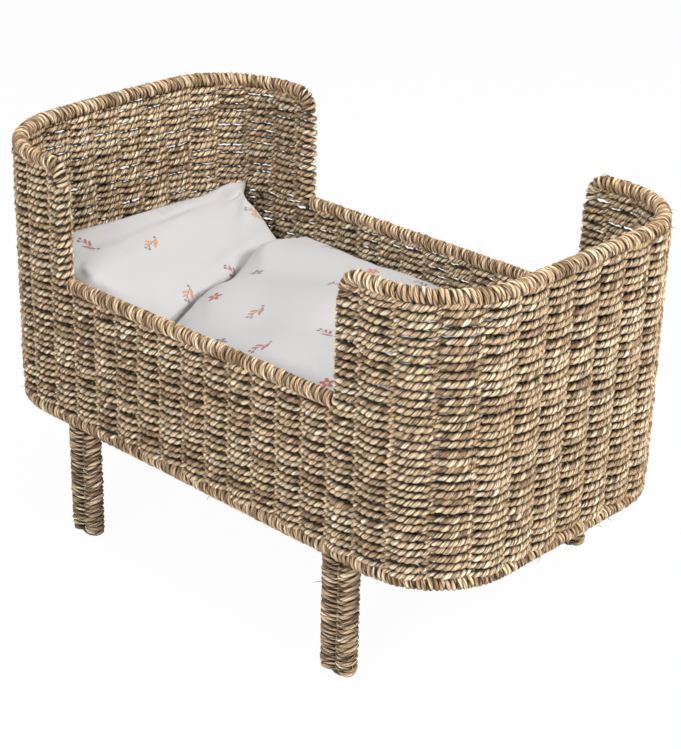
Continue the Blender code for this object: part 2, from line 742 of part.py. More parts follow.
def build_duvet():
    """Plump duvet from the foot to the pillow, its head end cut on the slant, with a crown and swells."""
    corners = inner_corners(DUVET_WALL_GAP)
    corners[2].y = DUVET_HEAD_RIGHT_Y
    corners[3].y = DUVET_HEAD_LEFT_Y
    radius = CORNER_RADIUS - WALL_INNER_OFFSET - DUVET_WALL_GAP
    radii = [radius, radius, DUVET_HEAD_CORNER_RADIUS, DUVET_HEAD_CORNER_RADIUS]
    outline = rounded_outline(corners, radii, CORNER_SEGMENTS)
    middle = Vector((0, (corners[0].y + DUVET_HEAD_LEFT_Y) / 2, 0))
    bottom = MATTRESS_TOP + BEDDING_GAP
    rings = []
    for drawn, rise in DUVET_PROFILE_SHARES:
        ring = shrink(outline, middle, EDGE_DRAW_IN * 2 * drawn)
        rings.append([
            point + UP * (bottom + DUVET_HEIGHT * rise + duvet_swell(point) * rise) for point in ring
        ])
    top = bottom + DUVET_HEIGHT
    for share in CROWN_RING_SHARES:
        ring = [middle + (point - middle) * share for point in outline]
        crown = DUVET_CROWN * (1 - share ** 2)
        rings.append([point + UP * (top + crown + duvet_swell(point)) for point in ring])
    form = bmesh.new()
    peak = middle + UP * (top + DUVET_CROWN + duvet_swell(middle))
    add_domed_loft(form, rings, middle + UP * bottom, peak)
    finish_mesh(form, "duvet", COTTON_COLOUR, 0.9, 0, 0.5)


PILLOW_COLUMNS = 14
PILLOW_ROWS = 9
PILLOW_SIDE_PULL_SHARE = 0.07
PILLOW_EDGE_SHARE = 0.04


def pillow_top_y():
    """Where the pillow's upper corners meet the rounded corners of the woven wall."""
    inner_radius = CORNER_RADIUS - WEAVE_OFFSET - COURSE_HALF_THICKNESS - PILLOW_CORNER_GAP
    beside = PILLOW_HALF_LENGTH - (WALL_HALF_WIDTH - CORNER_RADIUS)
    return WALL_HALF_LENGTH - CORNER_RADIUS + math.sqrt(inner_radius ** 2 - beside ** 2)


def pillow_middle(across, upward):
    """Point of the pillow's middle sheet: its long sides run from low at the foot to high at the head."""
    low_y = PILLOW_BOTTOM_LEFT_Y + (PILLOW_BOTTOM_RIGHT_Y - PILLOW_BOTTOM_LEFT_Y) * (across + 1) / 2
    share = (upward + 1) / 2
    middle_y = low_y + (pillow_top_y() - low_y) * share
    return Vector((PILLOW_HALF_LENGTH * across, middle_y, PILLOW_RISE * share))


def build_pillow():
    """Crowned pillow with drawn-in sides, leaning from the mattress to the headboard."""
    form = bmesh.new()
    layers = []
    for face in (1, -1):
        grid = []
        for j in range(PILLOW_ROWS + 1):
            row = []
            for i in range(PILLOW_COLUMNS + 1):
                u = math.sin(math.pi / 2 * (2 * i / PILLOW_COLUMNS - 1))
                v = math.sin(math.pi / 2 * (2 * j / PILLOW_ROWS - 1))
                pull = 1 - PILLOW_SIDE_PULL_SHARE * (1 - v * v) * u * u
                lift = 1 - PILLOW_SIDE_PULL_SHARE * (1 - u * u) * v * v
                point = pillow_middle(u * pull, v * lift)
                slope = pillow_middle(u, 1) - pillow_middle(u, -1)
                normal = slope.cross(Vector((-1, 0, 0))).normalized()
                crown = ((1 - u * u) * (1 - v * v)) ** 0.4 * (1 - PILLOW_EDGE_SHARE) + PILLOW_EDGE_SHARE
                row.append(form.verts.new(point + normal * (PILLOW_HALF_THICKNESS * crown * face)))
            grid.append(row)
        layers.append(grid)
    for grid in layers:
        for j in range(PILLOW_ROWS):
            for i in range(PILLOW_COLUMNS):
                form.faces.new((grid[j][i], grid[j][i + 1], grid[j + 1][i + 1], grid[j + 1][i]))
    top, under = layers
    rim = [(0, i) for i in range(PILLOW_COLUMNS)]
    rim += [(j, PILLOW_COLUMNS) for j in range(PILLOW_ROWS)]
    rim += [(PILLOW_ROWS, i) for i in range(PILLOW_COLUMNS, 0, -1)]
    rim += [(j, 0) for j in range(PILLOW_ROWS, 0, -1)]
    for (j, i), (n, m) in zip(rim, rim[1:] + rim[:1]):
        form.faces.new((top[j][i], top[n][m], under[n][m], under[j][i]))
    lowest = min(corner.co.z for corner in form.verts)
    bmesh.ops.translate(form, verts=form.verts, vec=UP * (MATTRESS_TOP + BEDDING_GAP - lowest))
    finish_mesh(form, "pillow", COTTON_COLOUR, 0.9, 0, 0.5)


def build_bed():
    clear_scene()
    build_base_frame()
    build_end_frame("head_frame", EDGES[0], HEAD_GAPS, HEAD_ARCH)
    build_end_frame("foot_frame", EDGES[2], FOOT_GAPS, 0)
    build_side_frame("right_frame", 1, EDGES[1])
    build_side_frame("left_frame", -1, EDGES[3])
    build_base_mat()
    weaves = {
        "weave_lower": build_lower_weave(),
        "weave_head": build_upper_weave("weave_head", EDGES[0], HEAD_GAPS, True),
        "weave_foot": build_upper_weave("weave_foot", EDGES[2], FOOT_GAPS, False),
    }
    build_base_wrap()
    build_end_wrap("head_rim_wrap", EDGES[0], HEAD_ARCH)
    build_end_wrap("foot_rim_wrap", EDGES[2], 0)
    build_side_wrap("left_rim_wrap", -1)
    build_side_wrap("right_rim_wrap", 1)
    winding = winding_rings()
    for side, y in leg_places():
        build_hairpin(side, y)
        build_leg_wrap(side, y, winding)
    build_mattress()
    build_duvet()
    build_pillow()
    for name, rings in weaves.items():
        print(name, "least gap to itself, mm:", round(least_gap(rings, 3) * 1000, 2))
    print("leg winding least gap to itself, mm:", round(least_gap(winding, 2) * 1000, 2))


build_bed()
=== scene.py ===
# Woven doll bed: the looks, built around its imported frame
import math

import bpy
import numpy as np
from mathutils import Matrix, Vector


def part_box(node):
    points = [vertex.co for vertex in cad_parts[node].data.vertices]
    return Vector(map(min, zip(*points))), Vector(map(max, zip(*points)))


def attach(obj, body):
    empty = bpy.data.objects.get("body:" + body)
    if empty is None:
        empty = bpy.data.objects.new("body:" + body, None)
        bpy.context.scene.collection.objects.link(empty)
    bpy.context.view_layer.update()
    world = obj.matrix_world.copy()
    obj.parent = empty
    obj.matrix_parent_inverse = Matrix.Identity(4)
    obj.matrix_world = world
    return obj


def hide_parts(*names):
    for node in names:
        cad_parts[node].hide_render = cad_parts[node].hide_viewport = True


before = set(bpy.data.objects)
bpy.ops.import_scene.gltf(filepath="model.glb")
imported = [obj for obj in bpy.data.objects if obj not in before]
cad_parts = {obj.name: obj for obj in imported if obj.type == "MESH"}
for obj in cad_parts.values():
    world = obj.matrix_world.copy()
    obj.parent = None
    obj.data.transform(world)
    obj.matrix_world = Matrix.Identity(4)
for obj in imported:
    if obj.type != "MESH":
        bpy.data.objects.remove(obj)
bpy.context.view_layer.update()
print("frame loaded")


# wall plan, as the frame has it (metres)
wall = {
    "halfLength": 0.244,
    "halfWidth": 0.136,
    "cornerRadius": 0.066,
    "wingEdge": 0.150,  # distance of the wing edges from the middle of the bed
    "sideGaps": 12,
    "headGaps": 15,
    "footGaps": 14,
    "ringHeight": 0.1015,
    "sideRail": 0.21862,  # heights of the rails' wires
    "endRail": 0.31534,
    "wingBend": 0.012,
    "headArch": 0.004,
    "turns": 36,  # the list of uprights goes on for so many times round
}
wall["side"] = wall["halfLength"] - wall["cornerRadius"]
wall["end"] = 2 * (wall["halfWidth"] - wall["cornerRadius"])
wall["arc"] = wall["cornerRadius"] * math.pi / 2
wall["half"] = 2 * wall["side"] + wall["end"] + 2 * wall["arc"]  # half the way round
wall["endRun"] = wall["half"] - 2 * wall["wingEdge"]


def wallPoint(distance):
    # point of the wall's middle line and outward direction, clockwise from the middle of the left side
    distance = np.asarray(distance, float) % (2 * wall["half"])
    turned = distance >= wall["half"]
    run = np.where(turned, distance - wall["half"], distance)
    side, end, arc, radius = wall["side"], wall["end"], wall["arc"], wall["cornerRadius"]
    angle = np.clip((run - side) / radius, 0, math.pi / 2)
    angle = angle + np.clip((run - side - arc - end) / radius, 0, math.pi / 2)
    out = np.stack([-np.cos(angle), np.sin(angle), np.zeros_like(angle)], axis=-1)
    core = np.stack([
        -end / 2 + np.clip(run - side - arc, 0, end),
        np.minimum(run, side) - np.clip(run - side - 2 * arc - end, 0, side),
        np.zeros_like(run),
    ], axis=-1)
    flip = np.where(turned, -1.0, 1.0)[..., None]
    return (core + out * radius) * flip, out * flip


def uprightPlaces():
    # way along the wall to each upright, and the number of the first one at each wing edge
    places, edges, start = [], [], wall["wingEdge"]
    sideRun = 2 * wall["wingEdge"]
    for run, gaps in ((wall["endRun"], wall["headGaps"]), (sideRun, wall["sideGaps"]),
                      (wall["endRun"], wall["footGaps"]), (sideRun, wall["sideGaps"])):
        edges.append(len(places))
        places += [start + run * i / gaps for i in range(gaps)]
        start += run
    return np.array(places), edges


places, edges = uprightPlaces()
placesOn = np.concatenate([places + 2 * wall["half"] * turn for turn in range(wall["turns"])])


def distanceAt(steps):
    # way along the wall after a number of uprights
    return np.interp(steps, np.arange(len(placesOn)), placesOn)


# meshes
def makePiece(name, points, quads, coords=None, values=None):
    mesh = bpy.data.meshes.new(name)
    mesh.vertices.add(len(points))
    mesh.vertices.foreach_set("co", points.astype(np.float32).ravel())
    mesh.loops.add(quads.size)
    mesh.loops.foreach_set("vertex_index", quads.astype(np.int32).ravel())
    mesh.polygons.add(len(quads))
    mesh.polygons.foreach_set("loop_start", np.arange(0, quads.size, 4, dtype=np.int32))
    mesh.update(calc_edges=True)
    if coords is not None:
        layer = mesh.uv_layers.new(name="fibre")
        layer.uv.foreach_set("vector", coords.astype(np.float32).ravel())
    for label, numbers in (values or {}).items():
        layer = mesh.attributes.new(label, "FLOAT", "POINT")
        layer.data.foreach_set("value", numbers.astype(np.float32).ravel())
    mesh.shade_smooth()
    piece = bpy.data.objects.new(name, mesh)
    bpy.context.scene.collection.objects.link(piece)
    return piece


def readVectors(mesh, kind="co"):
    values = np.empty(len(mesh.vertices) * 3, np.float32)
    mesh.vertices.foreach_get(kind, values)
    return values.reshape(-1, 3)


def unit(vectors):
    return vectors / np.maximum(np.linalg.norm(vectors, axis=-1, keepdims=True), 1e-12)


def squareTo(tangent, vectors):
    return unit(vectors - tangent * (vectors * tangent).sum(1, keepdims=True))


def lengths(path):
    return np.concatenate([[0], np.cumsum(np.linalg.norm(np.diff(path, axis=0), axis=1))])


def resample(at, along, rows):
    return np.stack([np.interp(at, along, rows[:, k]) for k in range(3)], axis=1)


def smoothStep(share):
    return share * share * (3 - 2 * share)


def wander(rng, along, knot, size):
    # smooth random line with one knot per stretch
    knots = rng.normal(0, size, int(along[-1] / knot) + 3)
    at = along / knot
    low = np.floor(at).astype(int)
    share = smoothStep(at - low)
    return knots[low] * (1 - share) + knots[low + 1] * share


# rope
rope = {
    "angles": (-90, -52, -18, 18, 52),  # sides of one ply's mesh, its groove first
    "step": 0.0015,  # length of one mesh ring
    "lay": 0.0108,  # length in which the two plies turn once
    "layLength": 0.03,  # stretch and radians by which the lay wanders
    "laySpread": 0.35,
    "plyCentre": 0.27,  # section of the two plies, as shares of the half width
    "plyRadius": 0.75,
    "thickLength": 0.02,
    "thickSpread": 0.085,
    "leafLength": 0.11,  # a leaf of seagrass keeps its tone this long
    "tone": 0.5,
    "toneSpread": 0.27,
    # how narrowly the painted shade sits where neighbouring strands touch
    "cavityShade": 1.1,
    "taper": 0.003,  # the ends close over this length
}
fewAngles = (-90, -40, 0, 40)


def ropeRings(path, across, size, seed, widthShare=None, look=rope):
    # rings of two-ply rope along a path, with the tone of their points and the painted shade in the ply
    # grooves and where neighbouring strands touch
    rng = np.random.default_rng(seed)
    along = lengths(path)
    count = max(4, int(along[-1] / look["step"]) + 1)
    at = np.linspace(0, along[-1], count)
    centre = resample(at, along, path)
    across = unit(resample(at, along, across))
    tangent = unit(np.gradient(centre, axis=0))
    across = squareTo(tangent, across)
    beside = np.cross(tangent, across)
    half = len(look["angles"])
    theta = np.radians(np.array([angle + turn for turn in (0, 180) for angle in look["angles"]], float))
    reach = look["plyCentre"] * np.abs(np.cos(theta))
    reach = reach + np.sqrt(look["plyRadius"] ** 2 - (look["plyCentre"] * np.sin(theta)) ** 2)
    phase = -math.tau * at / look["lay"] + rng.uniform(0, math.tau)
    phase = phase + wander(rng, at, look["layLength"], look["laySpread"])
    angle = theta[None] + phase[:, None]
    swell = 1 + wander(rng, at, look["thickLength"], look["thickSpread"])
    ends = np.clip(np.minimum(at, at[-1] - at) / look["taper"], 0.05, 1) ** 0.5
    grown = (swell * ends)[:, None]
    width = size["halfWidth"]
    if widthShare is not None:
        width = width * np.interp(at, along, widthShare)[:, None]
    outward = reach * np.cos(angle) * grown * size["halfThickness"]
    sideways = reach * np.sin(angle) * grown * width
    points = centre[:, None] + across[:, None] * outward[..., None] + beside[:, None] * sideways[..., None]
    tones = np.empty((count, 2 * half))
    for ply in range(2):
        plyTone = look["tone"] + wander(rng, at, look["leafLength"], look["toneSpread"])
        plyTone = plyTone + wander(rng, at, look["leafLength"] / 5, look["toneSpread"] / 3)
        tones[:, ply * half:(ply + 1) * half] = plyTone[:, None]
    tones[:, ::half] = look["tone"]
    # painted shade along the groove between the two plies
    grooveShade = np.tile((np.arange(2 * half) % half == 0).astype(float), (count, 1))
    grooveShade = np.maximum(grooveShade, np.abs(np.sin(angle)) ** look["cavityShade"])  # painted shade where neighbouring strands touch
    return points, tones, grooveShade, at, rng.uniform(0, 40)


def makeRope(name, strands):
    # one mesh of all strands, which are results of ropeRings
    points, quads, coords, tones, grooveShades, base = [], [], [], [], [], 0
    for rings, tone, grooveShade, at, offset in strands:
        count, sides = rings.shape[:2]
        grid = base + np.arange(count * sides).reshape(count, sides)
        nextSide = np.roll(grid, -1, axis=1)
        quads.append(np.stack([grid[:-1], grid[1:], nextSide[1:], nextSide[:-1]], axis=-1).reshape(-1, 4))
        u = np.broadcast_to(at[:, None] + offset, (count, sides))
        v = np.broadcast_to(np.arange(sides) / sides, (count, sides))
        nextV = v + 1 / sides
        corner = [(u[:-1], v[:-1]), (u[1:], v[1:]), (u[1:], nextV[1:]), (u[:-1], nextV[:-1])]
        coords.append(np.stack([np.stack(pair, axis=-1) for pair in corner], axis=2).reshape(-1, 2))
        points.append(rings.reshape(-1, 3))
        tones.append(tone.ravel())
        grooveShades.append(grooveShade.ravel())
        base += count * sides
    return makePiece(name, np.concatenate(points), np.concatenate(quads), np.concatenate(coords),
                     {"tone": np.concatenate(tones), "grooveShade": np.concatenate(grooveShades)})


# shader helpers
def newMaterial(name, roughness, specular=0.3):
    material = bpy.data.materials.new(name)
    material.use_nodes = True
    shader = material.node_tree.nodes["Principled BSDF"]
    shader.inputs["Roughness"].default_value = roughness
    shader.inputs["Specular IOR Level"].default_value = specular
    return material, material.node_tree, shader


def node(tree, kind, **settings):
    made = tree.nodes.new(kind)
    for label, value in settings.items():
        setattr(made, label, value)
    return made


def feed(tree, socket, value):
    # a number, vector or colour is set, the output of a node is linked
    if isinstance(value, (int, float)):
        socket.default_value = value
    elif isinstance(value, (tuple, list)):
        socket.default_value = (*value, 1) if socket.type == "RGBA" else value
    else:
        tree.links.new(value, socket)


def feedAll(tree, sockets, values):
    for socket, value in zip(sockets, values):
        feed(tree, socket, value)


def mathNode(tree, operation, *values):
    made = node(tree, "ShaderNodeMath", operation=operation)
    feedAll(tree, made.inputs, values)
    return made.outputs[0]


def vectorNode(tree, operation, *values):
    made = node(tree, "ShaderNodeVectorMath", operation=operation)
    feedAll(tree, made.inputs, values)
    return made.outputs["Value" if operation == "LENGTH" else "Vector"]


def scaleNode(tree, vector, factor):
    made = node(tree, "ShaderNodeVectorMath", operation="SCALE")
    feedAll(tree, (made.inputs[0], made.inputs["Scale"]), (vector, factor))
    return made.outputs[0]


def turnNode(tree, vector, angle):
    made = node(tree, "ShaderNodeVectorRotate", rotation_type="Z_AXIS")
    feedAll(tree, (made.inputs["Vector"], made.inputs["Angle"]), (vector, angle))
    return made.outputs[0]


def mapNode(tree, value, fromMin=0.0, fromMax=1.0, toMin=0.0, toMax=1.0):
    made = node(tree, "ShaderNodeMapRange")
    sockets = [made.inputs[label] for label in ("Value", "From Min", "From Max", "To Min", "To Max")]
    feedAll(tree, sockets, (value, fromMin, fromMax, toMin, toMax))
    return made.outputs[0]


def noiseNode(tree, vector, scale, detail=2.0, roughness=0.5):
    made = node(tree, "ShaderNodeTexNoise")
    sockets = [made.inputs[label] for label in ("Vector", "Scale", "Detail", "Roughness")]
    feedAll(tree, sockets, (vector, scale, detail, roughness))
    return made.outputs["Fac"]


def mixColour(tree, factor, first, second, blend="MIX"):
    made = node(tree, "ShaderNodeMix", data_type="RGBA", blend_type=blend)
    feedAll(tree, (made.inputs[0], made.inputs[6], made.inputs[7]), (factor, first, second))
    return made.outputs[2]


def stepRamp(tree, factor, stops):
    made = node(tree, "ShaderNodeValToRGB")
    ramp = made.color_ramp
    ramp.interpolation = "CONSTANT"
    while len(ramp.elements) < len(stops):
        ramp.elements.new(0.5)
    for element, (place, colour) in zip(ramp.elements, stops):
        element.position = place
        element.color = (*colour, 1)
    tree.links.new(factor, made.inputs[0])
    return made.outputs[0]


def addBump(tree, shader, height, strength, distance):
    bump = node(tree, "ShaderNodeBump")
    sockets = [bump.inputs[label] for label in ("Height", "Strength", "Distance")]
    feedAll(tree, sockets, (height, strength, distance))
    tree.links.new(bump.outputs[0], shader.inputs["Normal"])


def newGroup(name, inputs, outputs):
    # inputs: name, kind and value of each, outputs: name and kind
    tree = bpy.data.node_groups.new(name, "ShaderNodeTree")
    for label, kind, value in inputs:
        socket = tree.interface.new_socket(label, in_out="INPUT", socket_type="NodeSocket" + kind)
        socket.default_value = (*value, 1) if kind == "Color" else value
    for label, kind in outputs:
        tree.interface.new_socket(label, in_out="OUTPUT", socket_type="NodeSocket" + kind)
    return tree, node(tree, "NodeGroupInput").outputs, node(tree, "NodeGroupOutput").inputs


def placeGroup(tree, group, values):
    made = node(tree, "ShaderNodeGroup", node_tree=group)
    for label, value in values.items():
        feed(tree, made.inputs[label], value)
    return made.outputs


# seagrass
seagrass = {
    "seagrassWall": {"Dark": (0.33, 0.20, 0.110), "Middle": (0.82, 0.59, 0.375), "Light": (1.0, 0.85, 0.63)},
    "seagrassRim": {"Dark": (0.34, 0.20, 0.10), "Middle": (0.74, 0.505, 0.31), "Light": (0.96, 0.76, 0.53)},
    "seagrassLeg": {"Dark": (0.26, 0.165, 0.095), "Middle": (0.66, 0.47, 0.305), "Light": (0.92, 0.74, 0.53)},
}
fibre = {
    "fine": (75, 17, 1),  # stretch of each noise along and round the rope
    "coarse": (45, 9, 1),
    "patches": (14, 3, 1),
    "toneChange": 0.7,
    "green": (0.80, 0.92, 0.55),
    "greenShare": (0.58, 0.75, 0.0, 0.55),  # noise from and to, result from and to
    "streak": (0.41, 0.57, 0.15, 1.36),
    "rough": (0.0, 1.0, 0.9, 0.5),
    # near-black colour of the painted shade in the ply grooves and where strands touch, how sharply and how
    # strongly it is laid on
    "grooveShade": (0.012, 0.007, 0.004),
    "grooveShadePower": 2.5,
    "grooveShadeShare": 0.985,
    "bump": (0.8, 0.0012),  # strength and distance
}


def seagrassGroup():
    inputs = [(label, "Color", colour) for label, colour in seagrass["seagrassWall"].items()]
    # colour of the painted shade
    inputs.append(("GrooveShade", "Color", fibre["grooveShade"]))
    tree, given, result = newGroup("seagrassFibre", inputs,
                                   [("Color", "Color"), ("Height", "Float"), ("Roughness", "Float")])
    tone = node(tree, "ShaderNodeAttribute", attribute_name="tone").outputs["Fac"]
    grooveShade = node(tree, "ShaderNodeAttribute", attribute_name="grooveShade").outputs["Fac"]
    place = node(tree, "ShaderNodeUVMap", uv_map="fibre").outputs["UV"]
    fine = noiseNode(tree, vectorNode(tree, "MULTIPLY", place, fibre["fine"]), 1.0, 3, 0.6)
    coarse = noiseNode(tree, vectorNode(tree, "MULTIPLY", place, fibre["coarse"]), 1.0, 1, 0.5)
    varied = mathNode(tree, "SUBTRACT", coarse, 0.5)
    varied = mathNode(tree, "MULTIPLY_ADD", varied, fibre["toneChange"], tone)
    colour = mixColour(tree, mapNode(tree, varied, fromMax=0.5), given["Dark"], given["Middle"])
    colour = mixColour(tree, mapNode(tree, varied, fromMin=0.5), colour, given["Light"])
    patches = noiseNode(tree, vectorNode(tree, "MULTIPLY", place, fibre["patches"]), 1.0, 0)
    greenShare = mapNode(tree, patches, *fibre["greenShare"])
    colour = mixColour(tree, greenShare, colour, fibre["green"], "MULTIPLY")
    colour = scaleNode(tree, colour, mapNode(tree, fine, *fibre["streak"]))
    # painted shade: the colour is drawn towards near black in the ply grooves and where strands touch
    paintedShade = mathNode(tree, "POWER", grooveShade, fibre["grooveShadePower"])
    paintedShade = mathNode(tree, "MULTIPLY", paintedShade, fibre["grooveShadeShare"])
    colour = mixColour(tree, paintedShade, colour, given["GrooveShade"])
    rough = mapNode(tree, fine, *fibre["rough"])
    feedAll(tree, (result["Color"], result["Height"], result["Roughness"]), (colour, fine, rough))
    return tree


fibreGroup = seagrassGroup()


def seagrassMaterial(name):
    material, tree, shader = newMaterial(name, 0.8)
    look = placeGroup(tree, fibreGroup, seagrass[name])
    tree.links.new(look["Color"], shader.inputs["Base Color"])
    tree.links.new(look["Roughness"], shader.inputs["Roughness"])
    addBump(tree, shader, look["Height"], *fibre["bump"])
    return material


wallMaterial, rimMaterial, legMaterial = [seagrassMaterial(name) for name in seagrass]
print("materials made")


def dress(piece, material, slot, body, *replaced):
    piece.data.materials.clear()
    piece.data.materials.append(material)
    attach(piece, body)
    if replaced:
        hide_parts(*replaced)


# woven walls
weave = {
    "pitch": 0.003154,  # rise from one course to the next
    "halfWidth": 0.0032,
    "halfThickness": 0.0030,
    "offset": 0.0042,  # how far a course stands out at an upright
    "fullness": 0.85,  # under 1 the rope goes over an upright in a fuller bow
    "firstHeight": 0.10685,
    "sideCourses": 35,  # odd, so that the upper courses cross the last one
    "upperCourses": 30,
    "shortCourses": 3,  # the last upper courses stop short of the bends
    "parts": 4,  # pieces of the lower wall
    "stepStart": 13,  # upright where the courses step up
    "stepGaps": 3,
    "samples": 14,  # path points from upright to upright
    "waver": 0.00058,  # a course rises and falls by about this, over so many gaps
    "waverGaps": 1.7,
    "pressed": 0.71,  # height left where two courses cross
    "tuck": 0.18,  # share of a gap between a wing's edge and the ends under its bend
    "turnPoints": 12,  # of the way round a wing's edge to the next course
    "turnReach": 0.0006,
    "turnPressed": 0.8,
    "closingOffset": 0.78,  # half a course more, pushed up against the rim
    "closingRise": 0.6,
}
weave["sideTop"] = weave["firstHeight"] + (weave["sideCourses"] - 1) * weave["pitch"]


def pressedShare(passed):
    # full height beside an upright, pressed flat half way to the next
    return weave["pressed"] + (1 - weave["pressed"]) * np.cos(math.pi * passed) ** 2


def courseOffset(passed):
    # over and under
    wave = np.cos(math.pi * passed)
    return weave["offset"] * np.sign(wave) * np.abs(wave) ** weave["fullness"]


def courseWaver(rng, steps):
    return wander(rng, steps, weave["waverGaps"], weave["waver"])


def lowerWeave():
    # one spiral all round, in four pieces
    count = len(places)
    rng = np.random.default_rng(11)
    cuts = np.linspace(weave["stepGaps"], weave["sideCourses"] * count, weave["parts"] + 1)
    for part in range(weave["parts"]):
        first, last = cuts[part], cuts[part + 1]
        steps = np.linspace(first, last, int((last - first) * weave["samples"]) + 1)
        loop = np.floor(steps / count)
        level = loop - 1 + smoothStep(np.clip((steps - loop * count) / weave["stepGaps"], 0, 1))
        point, out = wallPoint(distanceAt(weave["stepStart"] + steps))
        path = point + out * courseOffset(steps)[:, None]
        path[:, 2] = weave["firstHeight"] + level * weave["pitch"] + courseWaver(rng, steps - steps[0])
        strand = ropeRings(path, out, weave, 20 + part, pressedShare(steps))
        piece = makeRope("lowerWeave" + str(part + 1), [strand])
        dress(piece, wallMaterial, "woven_rope", "bed", "weave_lower")


def upperWeave(name, nodeName, firstEdge, gaps, fromLeft, seed):
    # back and forth between the wing edges, then single courses under the rim's bends
    rng = np.random.default_rng(seed)
    edge = edges[firstEdge]
    points, normals, shares = [], [], []
    full = weave["upperCourses"] - weave["shortCourses"]
    for course in range(full):
        span = np.linspace(0, gaps, gaps * weave["samples"] + 1)
        if (course % 2 == 1) == fromLeft:
            span = span[::-1]
        heading = 1 if span[-1] > span[0] else -1
        height = weave["sideTop"] + (course + 1) * weave["pitch"]
        point, out = wallPoint(distanceAt(edge + span))
        path = point - out * courseOffset(span + course)[:, None]
        path[:, 2] = height + courseWaver(rng, np.abs(span - span[0]))
        path[0, 2] = path[-1, 2] = height
        points.append(path)
        normals.append(out * heading)
        shares.append(pressedShare(span))
        if course == full - 1:
            break
        last = int(span[-1])
        side = 1 if (last + course) % 2 else -1
        post, outward = wallPoint(placesOn[edge + last])
        away = np.array([outward[1], -outward[0], 0]) * heading
        turn = np.linspace(0, 1, weave["turnPoints"] + 2)[1:-1]
        spoke = outward * (np.cos(math.pi * turn) * side)[:, None]
        spoke = spoke + away * np.sin(math.pi * turn)[:, None]
        around = post + spoke * (weave["offset"] + weave["turnReach"])
        around[:, 2] = height + weave["pitch"] * turn
        points.append(around)
        normals.append(spoke * side * heading)
        shares.append(np.full(len(turn), weave["turnPressed"]))
    path, across = np.concatenate(points), np.concatenate(normals)
    strands = [ropeRings(path, across, weave, seed, np.concatenate(shares))]
    span = np.linspace(weave["tuck"], gaps - weave["tuck"], gaps * weave["samples"])
    point, out = wallPoint(distanceAt(edge + span))
    for course in range(full, weave["upperCourses"] + 1):
        closing = course == weave["upperCourses"]
        offset = courseOffset(span + course) * (weave["closingOffset"] if closing else 1)
        path = point - out * offset[:, None]
        path[:, 2] = weave["sideTop"] + (course + (weave["closingRise"] if closing else 1)) * weave["pitch"]
        path[:, 2] += courseWaver(rng, span - span[0])
        strands.append(ropeRings(path, out, weave, seed + course, pressedShare(span)))
    dress(makeRope(name, strands), wallMaterial, "woven_rope", "bed", nodeName)


lowerWeave()
upperWeave("headWeave", "weave_head", 0, wall["headGaps"], True, 31)
upperWeave("footWeave", "weave_foot", 2, wall["footGaps"], False, 41)
print("walls woven")


# wound rims
rimRope = {
    "pitch": 0.0039,  # turn to turn along the rail
    "halfWidth": 0.0022,
    "halfThickness": 0.0021,
    "centre": 0.0042,  # rope's middle from the wire's middle
    "samples": 16,
    "drift": 0.12,  # radians by which the winding wanders, over such a stretch
    "driftLength": 0.02,
    "below": (-0.0028, -0.0014),  # the winding starts a little below the bend
    "sideEnd": 0.006,  # a side rail's winding ends this far from the wings
}
rimLook = dict(rope, step=0.0021, lay=0.034, plyCentre=0.22, plyRadius=0.78,
               thickSpread=0.09, leafLength=0.05)


def windRail(name, nodeName, points, outs, seed):
    # rope wound round a rail whose line is given; thickness faces away from the wire
    along = lengths(points)
    turns = along[-1] / rimRope["pitch"]
    at = np.linspace(0, along[-1], int(turns * rimRope["samples"]))
    centre = resample(at, along, points)
    out = unit(resample(at, along, outs))
    tangent = unit(np.gradient(centre, axis=0))
    out = squareTo(tangent, out)
    above = np.cross(tangent, out)
    drift = wander(np.random.default_rng(seed), at, rimRope["driftLength"], rimRope["drift"])
    angle = math.tau * turns * at / along[-1] + drift
    spoke = out * np.cos(angle)[:, None] + above * np.sin(angle)[:, None]
    strand = ropeRings(centre + spoke * rimRope["centre"], spoke, rimRope, seed, look=rimLook)
    dress(makeRope(name, [strand]), rimMaterial, "rim_rope", "bed", nodeName)


def endRail(firstEdge, arch):
    start, bendRadius = places[edges[firstEdge]], wall["wingBend"]
    bend = np.linspace(0, math.pi / 2, 12)
    rising = len(rimRope["below"]) + len(bend)
    stop = start + wall["endRun"]
    distance = np.concatenate([
        [start, start],
        start + bendRadius * (1 - np.cos(bend)),
        np.linspace(start + bendRadius, stop - bendRadius, 300)[1:-1],
        stop - bendRadius * (1 - np.cos(bend[::-1])),
        [stop, stop],
    ])
    level = np.full(len(distance), wall["endRail"])
    rise = np.concatenate([rimRope["below"], bendRadius * np.sin(bend)])
    level[:rising] = wall["endRail"] - bendRadius + rise
    level[-rising:] = level[:rising][::-1]
    points, outs = wallPoint(distance)
    flat = np.ones(len(distance))
    flat[:rising - 1] = flat[1 - rising:] = 0
    points[:, 2] = level
    points[:, 2] += flat * arch * (1 - (points[:, 0] / wall["halfWidth"]) ** 2)
    return points, outs


def buildRims():
    points, outs = wallPoint(np.linspace(0, 2 * wall["half"], 900))
    points[:, 2] = wall["ringHeight"]
    windRail("bottomRim", "base_rim_wrap", points, outs, 51)
    windRail("headRim", "head_rim_wrap", *endRail(0, wall["headArch"]), 52)
    windRail("footRim", "foot_rim_wrap", *endRail(2, 0), 53)
    reach = wall["wingEdge"] - rimRope["sideEnd"]
    for name, nodeName, side, seed in (("leftRim", "left_rim_wrap", -1, 54),
                                       ("rightRim", "right_rim_wrap", 1, 55)):
        along = np.linspace(-reach, reach, 60) * -side
        x, z = np.full(60, side * wall["halfWidth"]), np.full(60, wall["sideRail"])
        points = np.column_stack([x, along, z])
        windRail(name, nodeName, points, np.tile([side, 0.0, 0.0], (60, 1)), seed)


buildRims()
print("rims wound")


